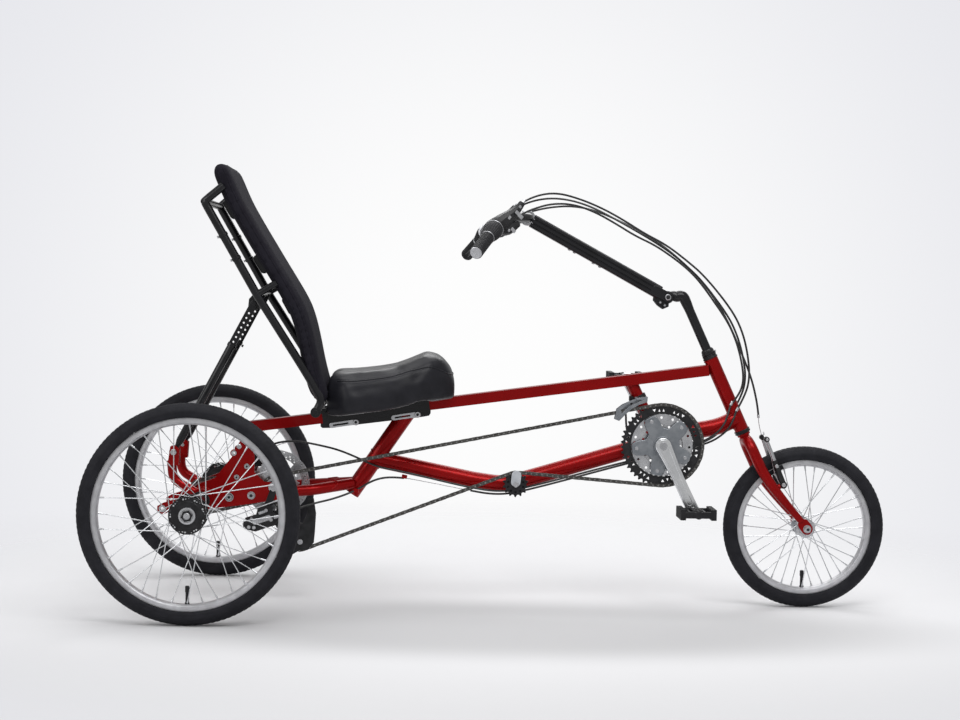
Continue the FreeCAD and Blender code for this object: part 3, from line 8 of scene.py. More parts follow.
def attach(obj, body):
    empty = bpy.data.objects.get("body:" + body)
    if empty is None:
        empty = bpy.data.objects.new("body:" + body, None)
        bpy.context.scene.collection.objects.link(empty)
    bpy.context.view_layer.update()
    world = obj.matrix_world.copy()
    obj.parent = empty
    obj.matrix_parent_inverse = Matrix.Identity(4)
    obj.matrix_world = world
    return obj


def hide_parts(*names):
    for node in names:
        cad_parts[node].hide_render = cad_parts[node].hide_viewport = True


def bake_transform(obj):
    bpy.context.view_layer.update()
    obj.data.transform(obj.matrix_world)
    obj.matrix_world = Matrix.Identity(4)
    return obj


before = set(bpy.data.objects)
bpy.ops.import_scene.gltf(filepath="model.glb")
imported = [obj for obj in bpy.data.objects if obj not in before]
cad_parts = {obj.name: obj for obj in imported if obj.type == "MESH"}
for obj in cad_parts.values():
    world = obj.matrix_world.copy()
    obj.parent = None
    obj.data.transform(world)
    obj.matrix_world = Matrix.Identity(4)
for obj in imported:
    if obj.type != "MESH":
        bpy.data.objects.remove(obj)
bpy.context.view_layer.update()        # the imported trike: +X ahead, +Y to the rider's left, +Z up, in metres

sideAxis, upAxis = Vector((0, 1, 0)), Vector((0, 0, 1))
rearAhead = 696.0        # the rear axle lies this far behind the origin, in millimetres


def spot(ahead, height, left=0.0):
    # a place given in millimetres: ahead of the rear axle, above the floor, left of the middle
    return Vector(((ahead - rearAhead) / 1000, left / 1000, height / 1000))


def addObject(name, data):
    made = bpy.data.objects.new(name, data)
    bpy.context.scene.collection.objects.link(made)
    return made


# materials: every finish is made by nodes from object coordinates

finishes, slots = {}, {}            # finish name -> its material, and the slot it fills


def newMaterial(name):
    material = bpy.data.materials.new(name)
    material.use_nodes = True
    return material, material.node_tree, material.node_tree.nodes["Principled BSDF"]


def setInputs(tree, node, inputs):
    # each input gets a value, or is fed by another node's output
    for key, value in inputs.items():
        if isinstance(value, bpy.types.NodeSocket):
            tree.links.new(value, node.inputs[key])
        else:
            node.inputs[key].default_value = value


def addNode(tree, kind, inputs, **settings):
    node = tree.nodes.new("ShaderNode" + kind)
    for key, value in settings.items():
        setattr(node, key, value)
    setInputs(tree, node, inputs)
    return node


def addMath(tree, operation, first, second):
    return addNode(tree, "Math", {0: first, 1: second}, operation=operation).outputs["Value"]


def addVector(tree, operation, *operands, output="Vector"):
    return addNode(tree, "VectorMath", dict(enumerate(operands)), operation=operation).outputs[output]


def addPlace(tree, kind="Object"):
    return addNode(tree, "TexCoord", {}).outputs[kind]


def addNoise(tree, scale, detail=3.0):
    inputs = {"Scale": scale, "Detail": detail, "Vector": addPlace(tree)}
    return addNode(tree, "TexNoise", inputs).outputs["Fac"]


def addRamp(tree, value, low, high):
    ramp = addNode(tree, "ValToRGB", {"Fac": value})
    for element, position, colour in zip(ramp.color_ramp.elements, (0.35, 0.65), (low, high)):
        element.position = position
        element.color = (*colour, 1)
    return ramp.outputs["Color"]


def addRange(tree, value, low, high, start=0.3, end=0.7, shape="LINEAR"):
    inputs = {"Value": value, "From Min": start, "From Max": end, "To Min": low, "To Max": high}
    return addNode(tree, "MapRange", inputs, interpolation_type=shape).outputs["Result"]


def addBump(tree, height, distance):
    return addNode(tree, "Bump", {"Distance": distance, "Strength": 0.5, "Height": height}).outputs["Normal"]


def makeFinish(name, slot, low, high, roughness, metallic, coat, scale, bump=0.0, bumpScale=400.0,
               specular=0.5):
    # a finish whose colour, roughness and bump vary a little over the surface
    finishes[name], tree, shader = newMaterial(name)
    slots[name] = slot
    fine = addNoise(tree, bumpScale, 4.0)
    setInputs(tree, shader, {"Base Color": addRamp(tree, addNoise(tree, scale), low, high),
                             "Roughness": addRange(tree, fine, *roughness), "Metallic": metallic,
                             "Coat Weight": coat, "Coat Roughness": 0.06, "Specular IOR Level": specular})
    if bump:
        setInputs(tree, shader, {"Normal": addBump(tree, fine, bump)})


def makeWeave(name, slot, low, high, period, roughness, bump):
    # a cloth finish: two sets of threads that cross, over a slowly changing colour
    finishes[name], tree, shader = newMaterial(name)
    slots[name] = slot
    wave = {"Scale": math.pi / (10 * period), "Distortion": 0.6, "Vector": addPlace(tree)}
    waves = [addNode(tree, "TexWave", wave, bands_direction=direction).outputs["Fac"]
             for direction in ("Y", "Z")]
    threads = addMath(tree, "MAXIMUM", *waves)
    tint = addRamp(tree, addNoise(tree, 24.0), low, high)
    shade = addNode(tree, "Mix", {"Factor": 0.45, "A": tint, "B": threads}, data_type="RGBA",
                    blend_type="MULTIPLY")
    setInputs(tree, shader, {
        "Base Color": shade.outputs["Result"], "Roughness": addRange(tree, threads, *reversed(roughness)),
        "Specular IOR Level": 0.03, "Normal": addBump(tree, threads, bump)})


# each row: name, slot, colours from low to high, roughness, metallic, coat, scale of the colour's noise,
# and for some finishes the bump, the scale of its noise and the specular level
finishPlans = (
    ("redPaint", "red_paint", (0.228, 0.0018, 0.0022), (0.272, 0.0025, 0.003), (0.26, 0.36), 0.45, 0.1,
     14, 0.00004, 700, 0.1),
    ("blackPaint", "black_paint", (0.005, 0.005, 0.006), (0.009, 0.009, 0.011), (0.2, 0.32), 0, 0.3, 20,
     0.00004, 600, 0.2),
    ("blackMetal", "black_metal", (0.012, 0.012, 0.013), (0.024, 0.024, 0.026), (0.32, 0.48), 0.3, 0.05,
     60, 0.00003, 900, 0.3),
    ("silverMetal", "silver_metal", (0.46, 0.465, 0.485), (0.6, 0.605, 0.625), (0.22, 0.36), 1, 0, 40,
     0.00002, 900),
    ("polishedMetal", "silver_metal", (0.68, 0.69, 0.71), (0.78, 0.79, 0.8), (0.12, 0.22), 1, 0, 30,
     0.00001, 600),
    ("rimMetal", "silver_metal", (0.5, 0.5, 0.52), (0.6, 0.6, 0.62), (0.34, 0.46), 0.85, 0, 50, 0.00002,
     1200),
    ("greyMetal", "silver_metal", (0.2, 0.215, 0.235), (0.27, 0.285, 0.305), (0.34, 0.5), 0.75, 0, 50,
     0.00002, 900),
    ("spokeSteel", "spoke_wire", (0.6, 0.61, 0.63), (0.72, 0.73, 0.75), (0.18, 0.3), 1, 0, 60),
    ("chainSteel", "chain_steel", (0.05, 0.048, 0.046), (0.13, 0.126, 0.12), (0.3, 0.5), 0.9, 0, 220),
    ("chainBright", "chain_steel", (0.2, 0.196, 0.19), (0.34, 0.335, 0.33), (0.25, 0.4), 0.95, 0, 220),
    ("tyreRubber", "tyre_rubber", (0.009, 0.009, 0.012), (0.015, 0.015, 0.019), (0.6, 0.8), 0, 0, 35,
     0.0002, 500, 0.2),
    ("gripRubber", "grip_rubber", (0.009, 0.009, 0.011), (0.016, 0.016, 0.018), (0.5, 0.68), 0, 0, 60,
     0.00015, 900, 0.25),
    ("blackPlastic", "black_plastic", (0.007, 0.007, 0.008), (0.013, 0.013, 0.015), (0.36, 0.52), 0, 0,
     60, 0.00005, 900, 0.3),
    ("cableBlack", "black_plastic", (0.008, 0.008, 0.009), (0.014, 0.014, 0.015), (0.28, 0.4), 0, 0.1,
     60, 0.00003, 900),
    ("greyPlastic", "black_plastic", (0.4, 0.42, 0.45), (0.48, 0.5, 0.53), (0.4, 0.55), 0, 0, 60,
     0.00004, 900),
    ("seatVinyl", "seat_vinyl", (0.008, 0.008, 0.011), (0.014, 0.014, 0.018), (0.3, 0.42), 0, 0, 22,
     0.00012, 520, 0.22))
for plan in finishPlans:
    makeFinish(*plan)
makeWeave("backFabric", "back_fabric", (0.015, 0.014, 0.019), (0.018, 0.017, 0.023), 0.0022, (0.7, 0.9),
          0.0003)
print("finishes made:", len(finishes))


# mesh helpers: sizes in millimetres, places as vectors in metres

def finishPiece(name, bm, body, finish, replaces="", limit=30):
    # limit is the angle in degrees past which an edge shows sharp
    bmesh.ops.recalc_face_normals(bm, faces=bm.faces)
    bm.normal_update()
    for edge in bm.edges:
        edge.smooth = len(edge.link_faces) == 2 and edge.calc_face_angle(0.0) < math.radians(limit)
    for face in bm.faces:
        face.smooth = True
    mesh = bpy.data.meshes.new(name)
    bm.to_mesh(mesh)
    bm.free()
    mesh.materials.append(finishes[finish])
    piece = addObject(name, mesh)
    if body:
        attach(piece, body)
    if replaces:
        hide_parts(replaces)
    return piece


def sideFrame(axis):
    axis = Vector(axis).normalized()
    helper = upAxis if abs(axis.z) < 0.9 else Vector((1, 0, 0))
    across = axis.cross(helper).normalized()
    return across, across.cross(axis).normalized(), axis


def turnsRound(count):
    # the angles of evenly spaced places on a circle
    return [2 * math.pi * index / count for index in range(count)]


def polar(radius, angle):
    return (radius * math.cos(angle), radius * math.sin(angle))


def phase(number):
    return math.atan2(number.imag, number.real)


def roundHole(ahead, height, radius, count=20):
    return [(ahead + radius * math.cos(turn), height + radius * math.sin(turn))
            for turn in turnsRound(count)]


def circle(centre, across, up, radius, count):
    return [centre + (across * math.cos(turn) + up * math.sin(turn)) * radius / 1000
            for turn in turnsRound(count)]


def addRings(bm, rings, closed=False, capEnds=False):
    # joins rows of points into a skin; closed joins its last row to its first
    rows = [[bm.verts.new(point) for point in ring] for ring in rings]
    count, length = len(rows), len(rows[0])
    for row in range(count if closed else count - 1):
        here, there = rows[row], rows[(row + 1) % count]
        for index in range(length):
            follow = (index + 1) % length
            bm.faces.new((here[index], here[follow], there[follow], there[index]))
    if capEnds:
        bm.faces.new(rows[0][::-1])
        bm.faces.new(rows[-1])


def addLathe(bm, profile, centre, axis=sideAxis, segments=48):
    # profile is a closed outline of (radius, along)
    across, up, along = sideFrame(axis)
    rings = []
    for turn in turnsRound(segments):
        out = across * math.cos(turn) + up * math.sin(turn)
        rings.append([centre + (out * radius + along * reach) / 1000 for radius, reach in profile])
    addRings(bm, rings, closed=True)


def addWasher(bm, centre, inner, outer, low, high, segments=32, axis=sideAxis):
    addLathe(bm, [(inner, low), (outer, low), (outer, high), (inner, high)], centre, axis, segments)


def addRod(bm, start, end, radius, sides=20, bevel=0.0, taper=None):
    # a round bar between two places; taper is its radius at the far end
    across, up, along = sideFrame(end - start)
    far = radius if taper is None else taper
    length = (end - start).length
    edge = min(bevel, radius * 0.6, length * 400)
    stations = [(radius, 0), (far, length)]
    if edge:
        stations = [(radius - edge, 0), (radius, edge / 1000), (far, length - edge / 1000),
                    (far - edge, length)]
    rings = [circle(start + along * reach, across, up, size, sides) for size, reach in stations]
    addRings(bm, rings, capEnds=True)


def addStud(bm, place, way, low, high, radius, sides=20, bevel=0.0, taper=None):
    # a round bar along way, from low to high past a place
    addRod(bm, place + way * low / 1000, place + way * high / 1000, radius, sides, bevel, taper)


def addAcross(bm, ahead, height, leftLow, leftHigh, radius, sides=24, bevel=0.0):
    addRod(bm, spot(ahead, height, leftLow), spot(ahead, height, leftHigh), radius, sides, bevel)


def addTrail(bm, points, radius, sides=12, closed=False):
    # a tube along many places; radius is one number or one for each place
    count = len(points)
    radii = radius if isinstance(radius, list) else [radius] * count
    ways = []
    for index in range(count):
        before = points[(index - 1) % count] if closed or index else points[index]
        after = points[(index + 1) % count] if closed or index < count - 1 else points[index]
        ways.append((after - before).normalized())
    across, up, _ = sideFrame(ways[0])
    rings = []
    for index, (point, way) in enumerate(zip(points, ways)):
        if index:
            turn = ways[index - 1].rotation_difference(way)
            across, up = turn @ across, turn @ up
        rings.append(circle(point, across, up, radii[index], sides))
    addRings(bm, rings, closed, capEnds=not closed)


def pitched(lean):
    # a turn about the side axis, in radians
    return Matrix.Rotation(lean, 3, "Y")


def addBlock(bm, middle, size, turn=None, bevel=1.0):
    # a box with rounded edges, its size along its own axes
    corners = bmesh.ops.create_cube(bm, size=1.0)["verts"]
    bmesh.ops.scale(bm, vec=Vector(size) / 1000, verts=corners)
    edges = list({edge for vert in corners for edge in vert.link_edges})
    done = bmesh.ops.bevel(bm, geom=edges, offset=min(bevel, min(size) * 0.4) / 1000, segments=2, profile=0.7,
                           affect="EDGES")
    rounds = {vert for face in done["faces"] for vert in face.verts}
    corners = list(rounds | {vert for vert in corners if vert.is_valid})
    if turn is not None:
        bmesh.ops.rotate(bm, cent=Vector(), matrix=turn, verts=corners)
    bmesh.ops.translate(bm, vec=middle, verts=corners)


def flatMesh(loops, thickness, bevel=0.0):
    # a flat sheet with holes, from closed outlines; it lies in XY and is centred on Z
    curve = bpy.data.curves.new("flat", "CURVE")
    curve.dimensions = "2D"
    curve.fill_mode = "BOTH"
    curve.extrude = max(thickness / 2 - bevel, 0.01) / 1000
    curve.bevel_depth = bevel / 1000
    curve.bevel_resolution = 1
    for loop in loops:
        spline = curve.splines.new("POLY")
        spline.points.add(len(loop) - 1)
        for place, (first, second) in zip(spline.points, loop):
            place.co = (first / 1000, second / 1000, 0, 1)
        spline.use_cyclic_u = True
    return curveMesh(curve)


def curveMesh(curve):
    # the mesh that a curve gives; the curve itself goes
    holder = addObject(curve.name, curve)
    bpy.context.view_layer.update()
    mesh = bpy.data.meshes.new_from_object(holder)
    bpy.data.objects.remove(holder)
    bpy.data.curves.remove(curve)
    return mesh


def addMesh(bm, mesh, matrix):
    mesh.transform(matrix)
    bm.from_mesh(mesh)
    bpy.data.meshes.remove(mesh)


def addFlat(bm, loops, matrix, thickness, bevel=0.0):
    addMesh(bm, flatMesh(loops, thickness, bevel), matrix)


def sideMatrix(ahead=0.0, height=0.0, left=0.0, turn=0.0):
    # carries a sheet drawn in (ahead, height) to its place beside the middle plane
    stand = Matrix(((1, 0, 0, 0), (0, 0, -1, 0), (0, 1, 0, 0), (0, 0, 0, 1)))
    return Matrix.Translation(spot(ahead, height, left)) @ stand @ Matrix.Rotation(turn, 4, "Z")


def slot2d(start, end, radius, count=8):
    # an outline round two points, as of a link plate
    way = math.atan2(end[1] - start[1], end[0] - start[0])
    loop = []
    for centre, first in ((start, way + math.pi / 2), (end, way - math.pi / 2)):
        for index in range(count + 1):
            ahead, height = polar(radius, first + math.pi * index / count)
            loop.append((centre[0] + ahead, centre[1] + height))
    return loop


def addHex(bm, ahead, height, left, radius, depth, turn=0.0, way=-1):
    # a hexagon head whose outer face looks along way
    loop = [polar(radius, turn + corner) for corner in turnsRound(6)]
    addFlat(bm, [loop], sideMatrix(ahead, height, left + way * depth / 2), depth, min(0.5, depth / 4))


def paintNode(name, finish):
    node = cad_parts[name]
    node.data.materials.clear()
    node.data.materials.append(finishes[finish])


# camera and studio

cameraPlan = {"place": (-0.2277, -4.95545, 0.7981), "yaw": 2.138, "pitch": 2.464, "roll": 1.128, "lens": 77.5}
# centre and corner: the backdrop's painted light and shade; shadow: the floor's painted shadow under the
# trike; edge: the floor's painted shade towards its rim
studioPlan = {"floor": 0.74, "centre": (0.985, 0.985, 0.985), "corner": (0.79, 0.795, 0.835), "world": 0.52,
              "shadow": 0.72, "edge": 0.76}


def makeCamera():
    data = bpy.data.cameras.new("camera")
    data.lens, data.sensor_width = cameraPlan["lens"], 36.0
    data.clip_start, data.clip_end = 0.05, 200
    yaw, pitch, roll = (math.radians(cameraPlan[key]) for key in ("yaw", "pitch", "roll"))
    ahead = Vector((math.sin(yaw) * math.cos(pitch), math.cos(yaw) * math.cos(pitch), -math.sin(pitch)))
    level = Vector((math.cos(yaw), -math.sin(yaw), 0))
    upright = level.cross(ahead)
    rightWay = level * math.cos(roll) + upright * math.sin(roll)
    upWay = upright * math.cos(roll) - level * math.sin(roll)
    turn = Matrix((rightWay, upWay, -ahead)).transposed()
    camera = addObject("camera", data)
    camera.matrix_world = Matrix.Translation(Vector(cameraPlan["place"])) @ turn.to_4x4()
    bpy.context.scene.camera = camera


def makeFloor():
    bm = bmesh.new()
    bmesh.ops.create_circle(bm, cap_ends=True, segments=96, radius=6.0)
    mesh = bpy.data.meshes.new("floor")
    bm.to_mesh(mesh)
    bm.free()
    floor = addObject("floor", mesh)
    floor.location = (0, 0, -0.0005)
    material, tree, shader = newMaterial("floorWhite")
    mesh.materials.append(material)
    place = addPlace(tree)

    def addOval(middle, halfLong, halfWide, inside, outside):
        # falls smoothly from inside to outside over an oval on the floor, as painted shade
        shift = addVector(tree, "SUBTRACT", place, (*middle, 0))
        shrink = addVector(tree, "MULTIPLY", shift, (1 / halfLong, 1 / halfWide, 0))
        reach = addVector(tree, "LENGTH", shrink, output="Value")
        return addRange(tree, reach, inside, outside, 0.45, 1.25, "SMOOTHERSTEP")

    # painted light on the floor: a painted shadow under the trike, times painted shade that darkens the floor
    # towards its edge
    shade = addMath(tree, "MULTIPLY", addOval((0.06, -0.36), 1.0, 0.4, studioPlan["shadow"], 1.0),
                    addOval((0.0, 0.6), 2.0, 1.8, 1.0, studioPlan["edge"]))
    white = studioPlan["floor"]
    tint = addNode(tree, "VectorMath", {0: (white, white, white * 1.02), "Scale": shade}, operation="SCALE")
    setInputs(tree, shader, {"Base Color": tint.outputs["Vector"], "Roughness": 0.9,
                             "Specular IOR Level": 0.1})
    # the floor fades out towards its edge
    squeeze = addVector(tree, "MULTIPLY", place, (1.15, 1, 1))
    fade = addRange(tree, addVector(tree, "LENGTH", squeeze, output="Value"), 0.0, 1.0, 0.75, 2.4,
                    "SMOOTHSTEP")
    clear = addNode(tree, "BsdfTransparent", {}).outputs["BSDF"]
    blend = addNode(tree, "MixShader", {"Fac": fade, 1: shader.outputs["BSDF"], 2: clear})
    setInputs(tree, tree.nodes["Material Output"], {"Surface": blend.outputs["Shader"]})


def makeWorld():
    # even light from all around; the camera sees a backdrop with a painted pool of light, brightest behind the
    # trike and painted darker towards the corners
    world = bpy.data.worlds.new("studio")
    world.use_nodes = True
    bpy.context.scene.world = world
    tree = world.node_tree
    light = tree.nodes["Background"]
    setInputs(tree, light, {"Color": (1, 1, 1, 1), "Strength": studioPlan["world"]})
    away = addVector(tree, "DISTANCE", addPlace(tree, "Generated"), (0.04, 0.999, -0.03), output="Value")
    shade = addRange(tree, away, 0.0, 1.0, 0.02, 0.33, "SMOOTHSTEP")
    # painted light: the backdrop is painted white behind the trike and greyer towards the corners
    colours = {"Factor": shade, "A": (*studioPlan["centre"], 1), "B": (*studioPlan["corner"], 1)}
    mix = addNode(tree, "Mix", colours, data_type="RGBA")
    backdrop = addNode(tree, "Background", {"Color": mix.outputs["Result"]})
    path = addNode(tree, "LightPath", {}).outputs
    seen = addMath(tree, "MAXIMUM", path["Is Camera Ray"], path["Is Transmission Ray"])
    choose = addNode(tree, "MixShader", {"Fac": seen, 1: light.outputs["Background"],
                                         2: backdrop.outputs["Background"]})
    setInputs(tree, tree.nodes["World Output"], {"Surface": choose.outputs["Shader"]})


def makeLamps():
    lampPlans = (("key", (0.6, -2.2, 3.2), 2.6, 62), ("fill", (-2.6, -2.0, 1.8), 2.2, 22),
                 ("rim", (0.4, 2.6, 2.6), 2.4, 36), ("top", (0.0, 0.2, 3.4), 3.0, 40))
    for name, place, width, power in lampPlans:
        data = bpy.data.lights.new(name, "AREA")
        data.shape = "RECTANGLE"
        data.size, data.size_y = width, width * 0.6
        data.energy = power
        lamp = addObject(name, data)
        lamp.location = place
        lamp.rotation_euler = (Vector((0, 0, 0.45)) - Vector(place)).to_track_quat("-Z", "Y").to_euler()


makeCamera()
makeFloor()
makeWorld()
makeLamps()
bpy.context.scene.view_settings.view_transform = "Standard"
print("camera and studio made")


# wheels: tyres with tread, rims, crossed spokes, hubs and valves

wheelPlans = {
    "right": {"body": "right_wheel", "ahead": 0.0, "left": -380.0, "radius": 247.5, "flange": 42.0,
              "offset": 25.0},
    "left": {"body": "left_wheel", "ahead": 0.0, "left": 380.0, "radius": 247.5, "flange": 42.0,
             "offset": 25.0},
    "front": {"body": "front_wheel", "ahead": 1444.5, "left": 0.0, "radius": 195.0, "flange": 23.0,
              "offset": 32.5},
}
tyreHalf, tyreDepth, rimDepth, rimHalf = 22.0, 32.0, 16.0, 13.5


def makeTyre(name, plan):
    # the crown is a ring of small blocks: shallow grooves run across it and along it
    bm = bmesh.new()
    middle = spot(plan["ahead"], plan["radius"], plan["left"])
    steps, reach = 17, 116.0
    rings = []
    for index, angle in enumerate(turnsRound(6 * round(plan["radius"] * 2 * math.pi / 26))):
        out = Vector((math.cos(angle), 0, math.sin(angle)))
        edge = plan["radius"] - tyreDepth + 0.5
        ring = []
        for step in range(-steps, steps + 1):
            lean = reach * step / steps
            depth = 0.5 if 86 < abs(lean) < 96 else 0.0
            if abs(lean) < 62:
                row = round(abs(lean) / 14) + (1 if lean > 0 else 0)
                depth = 1.0 if index % 3 == row % 3 or abs(step) in (2, 5) else 0.0
            rise, aside = polar(tyreHalf - depth, math.radians(lean))
            ring.append((plan["radius"] - tyreHalf + rise, aside))
        ring += [(edge, 12.6), (edge, -12.6)]
        rings.append([middle + (out * radius + sideAxis * aside) / 1000 for radius, aside in ring])
    addRings(bm, rings, closed=True)
    finishPiece(name + "Tyre", bm, plan["body"], "tyreRubber", name + "_tyre", 50)


def makeRim(name, plan):
    bm = bmesh.new()
    edge = plan["radius"] - tyreDepth
    inner, floor = edge - rimDepth, edge - 9.5
    half = [(inner, 0), (inner, 5), (inner + 0.5, 7.6), (inner + 3.6, 12.2), (inner + 4.6, 13),
            (inner + 5.6, 12.8), (inner + 6.2, rimHalf), (edge - 1.4, rimHalf), (edge - 0.1, 13.1),
            (edge - 0.1, 12.1), (edge - 1.6, 11.3), (floor + 0.8, 11.3), (floor, 10.6), (floor, 0)]
    profile = [(radius, -aside) for radius, aside in half[1:-1]] + half[::-1]
    addLathe(bm, profile, spot(plan["ahead"], plan["radius"], plan["left"]), segments=144)
    finishPiece(name + "Rim", bm, plan["body"], "rimMetal", name + "_rim", 28)


def makeSpokes(name, plan):
    # nine spokes on each face of each flange; they lean both ways and cross on the way out
    steel = bmesh.new()
    count, radius, seat = 36, 1.1, 1.54
    for index in range(count):
        side = -1 if index % 2 else 1
        outer = 1 if (index // 2) % 2 else -1
        angle = math.radians(360 * (2 * (index // 2) + index % 2) / count)

        def place(size, turn, aside):
            ahead, height = polar(size, turn)
            return spot(plan["ahead"] + ahead, plan["radius"] + height, plan["left"] + side * aside)

        start, through, head = [place(plan["flange"] - 5, angle + outer * math.radians(66),
                                      plan["offset"] + aside)
                                for aside in (outer * seat, -outer * 3.2, -outer * 4.0)]
        end = place(plan["radius"] - tyreDepth - rimDepth + 1, angle, 3)
        way = (end - start).normalized()
        addRod(steel, start, end, radius, 8)
        addStud(steel, end, way, -13, 0, 1.5, 10, taper=2.3)
        addRod(steel, start, through, radius * 1.1, 8)
        addRod(steel, through, head, 2.1, 10, 0.3)
    finishPiece(name + "Spokes", steel, plan["body"], "spokeSteel", name + "_spokes", 40)


def makeValve(name, plan):
    bm = bmesh.new()
    inner = plan["radius"] - tyreDepth - rimDepth
    foot = spot(plan["ahead"], plan["radius"] - inner + 0.5, plan["left"])
    for low, high, radius, sides, bevel in ((-2, 3, 5.5, 16, 1), (0, 27, 4, 14, 0), (25, 40, 5, 16, 1.6)):
        addStud(bm, foot, upAxis, low, high, radius, sides, bevel)
    finishPiece(name + "Valve", bm, plan["body"], "blackPlastic")


def mirroredProfile(half):
    return half + [(radius, -along) for radius, along in half[::-1]]


def makeRearHub(name, plan, out):
    bm, ring, nut = bmesh.new(), bmesh.new(), bmesh.new()
    middle = spot(plan["ahead"], plan["radius"], plan["left"])
    half = [(8.5, -32), (17.2, -32), (18, -31.2), (18, -28.4), (23, -27.2), (31, -27), (32, -26.2),
            (39, -26.2), (40, -27), (41.4, -27), (42, -26.4), (42, -23.6), (41.4, -23), (25, -23),
            (21, -21.5), (20, -18)]
    addLathe(bm, mirroredProfile(half), middle, segments=72)
    aside = plan["left"] + out * 26.6
    for index in range(18):
        ahead, height = polar(38.6, 2 * math.pi * (index + 0.5) / 18)
        addAcross(bm, ahead, plan["radius"] + height, aside, aside + out * 0.8, 2.6, 12)
    finishPiece(name + "Hub", bm, plan["body"], "blackMetal", name + "_hub", 25)
    face = [(8, 32.1), (15, 32.1), (18.6, 32.6), (19, 33.4), (18.4, 34.4), (14.4, 35), (13.6, 34.2),
            (8, 34.2)]
    addLathe(ring, face, middle, sideAxis * out)
    finishPiece(name + "HubRing", ring, plan["body"], "silverMetal", limit=25)
    addHex(nut, plan["ahead"], plan["radius"], plan["left"] + out * 34.4, 12.5, 5.5, 0.2, out)
    finishPiece(name + "AxleNut", nut, "right_wheel", "blackMetal", limit=25)


def makeFrontHub(plan):
    bm = bmesh.new()
    half = [(4.8, -42), (9.3, -42), (10, -41.3), (10, -38), (15.5, -37), (17, -34.6), (22.4, -34),
            (23, -33.4), (23, -31.6), (22.4, -31), (17, -31), (14.6, -28), (13, -22)]
    addLathe(bm, mirroredProfile(half), spot(plan["ahead"], plan["radius"], plan["left"]), segments=56)
    finishPiece("frontHub", bm, plan["body"], "silverMetal", "front_hub", 25)


for wheelName, wheelPlan in wheelPlans.items():
    makeTyre(wheelName, wheelPlan)
    makeRim(wheelName, wheelPlan)
    makeSpokes(wheelName, wheelPlan)
    makeValve(wheelName, wheelPlan)
makeRearHub("right", wheelPlans["right"], -1)
makeRearHub("left", wheelPlans["left"], 1)
makeFrontHub(wheelPlans["front"])
print("wheels made")


# sprockets and chains

chainPitch, chainLeft, finalLeft = 12.7, -50.0, -8.0
crankPlace, midPlace, axlePlace = (1091.0, 391.0), (168.0, 277.0), (0.0, 247.5)
idlerPlace, pulleyLow, pulleyHigh = (742.0, 292.0), (232.0, 147.0), (177.0, 202.0)
crankLean = math.radians(64)
spiderTurns = [math.radians(44 + 72 * index) for index in range(5)]
crankSpot, midSpot, axleSpot = spot(*crankPlace), spot(*midPlace), spot(*axlePlace)


def crankTurn(side):
    # the near crank points ahead and down, the far one the other way
    return math.pi - crankLean if side > 0 else -crankLean


def pitchRadius(teeth):
    return chainPitch / (2 * math.sin(math.pi / teeth))


def toothLoop(teeth, turn=0.0, tip=2.4):
    # one tooth: share of the pitch angle, height over the pitch circle
    tooth = [(0.0, -3.7), (0.18, -2.8), (0.3, -0.4), (0.42, tip), (0.58, tip), (0.7, -0.4), (0.82, -2.8)]
    return [polar(pitchRadius(teeth) + rise, turn + 2 * math.pi * (index + share) / teeth)
            for index in range(teeth) for share, rise in tooth]


def addSprocket(bm, place, left, teeth, inner, thickness, holes=(), turn=0.0, bevel=0.25):
    loops = [toothLoop(teeth, turn), roundHole(0, 0, inner, 48)] + list(holes)
    addFlat(bm, loops, sideMatrix(place[0], place[1], left), thickness, bevel)


def makeChainrings():
    black, silver = bmesh.new(), bmesh.new()
    holes = []
    for turn in spiderTurns:
        for degrees in (-27, -20, 20, 27):
            middle = turn + math.radians(degrees)
            holes.append([polar(80.5, middle - 0.035), polar(80.5, middle + 0.035), polar(88, middle)])
        for degrees in (-12, 12):
            middle = turn + math.radians(degrees)
            holes.append([polar(81, middle), polar(88.5, middle + 0.05), polar(88.5, middle - 0.05)])
    addSprocket(black, crankPlace, chainLeft, 48, 75, 2.2, holes)
    finishPiece("chainringLarge", black, "crank", "blackMetal", "chainrings")
    for teeth, inner, left in ((38, 50, -43.5), (28, 34, -37.0)):
        holes = [roundHole(*polar(pitchRadius(teeth) - 11, turn + math.radians(degrees + 36)), 3.4, 12)
                 for turn in spiderTurns for degrees in (-24, -12, 12, 24)]
        addSprocket(silver, crankPlace, left, teeth, inner, 2.2, holes)
    finishPiece("chainringsSmall", silver, "crank", "silverMetal")


def makeSpider():
    grey, bolts = bmesh.new(), bmesh.new()
    outline = []
    steps = 16
    for turn in spiderTurns:
        for step in range(steps):
            away = -36 + 72 * step / steps
            share = min(max((27 - abs(away)) / 19, 0), 1)
            share = share * share * (3 - 2 * share)
            outline.append(polar(40 + 32 * share, turn + math.radians(away)))
    addFlat(grey, [outline, roundHole(0, 0, 9, 24)], sideMatrix(*crankPlace, -54.4), 5.2, 1.4)
    addLathe(grey, [(9, -61.6), (21, -61.6), (22, -60.6), (22.4, -56), (9, -56)], crankSpot)
    addLathe(grey, [(9, -52), (17, -52), (17, -36), (15, -34.2), (9, -34.2)], crankSpot, segments=40)
    finishPiece("crankSpider", grey, "crank", "greyMetal", "spider")
    for turn in spiderTurns:
        ahead, height = polar(62, turn)
        addAcross(bolts, crankPlace[0] + ahead, crankPlace[1] + height, -58.2, -36, 4.6, 18, 0.6)
    finishPiece("chainringBolts", bolts, "crank", "silverMetal")


def armOutline(length, root, tip, waist):
    # root and tip are round, and the sides draw in towards the waist between them
    loop = [polar(root, math.pi / 2 + math.pi * step / 12) for step in range(13)]
    edge = []
    for share in (step / 9 for step in range(1, 9)):
        edge.append((length * share, root + (tip - root) * share - waist * math.sin(math.pi * share)))
    loop += [(reach, -aside) for reach, aside in edge]
    for step in range(13):
        reach, aside = polar(tip, -math.pi / 2 + math.pi * step / 12)
        loop.append((length + reach, aside))
    return loop + edge[::-1]


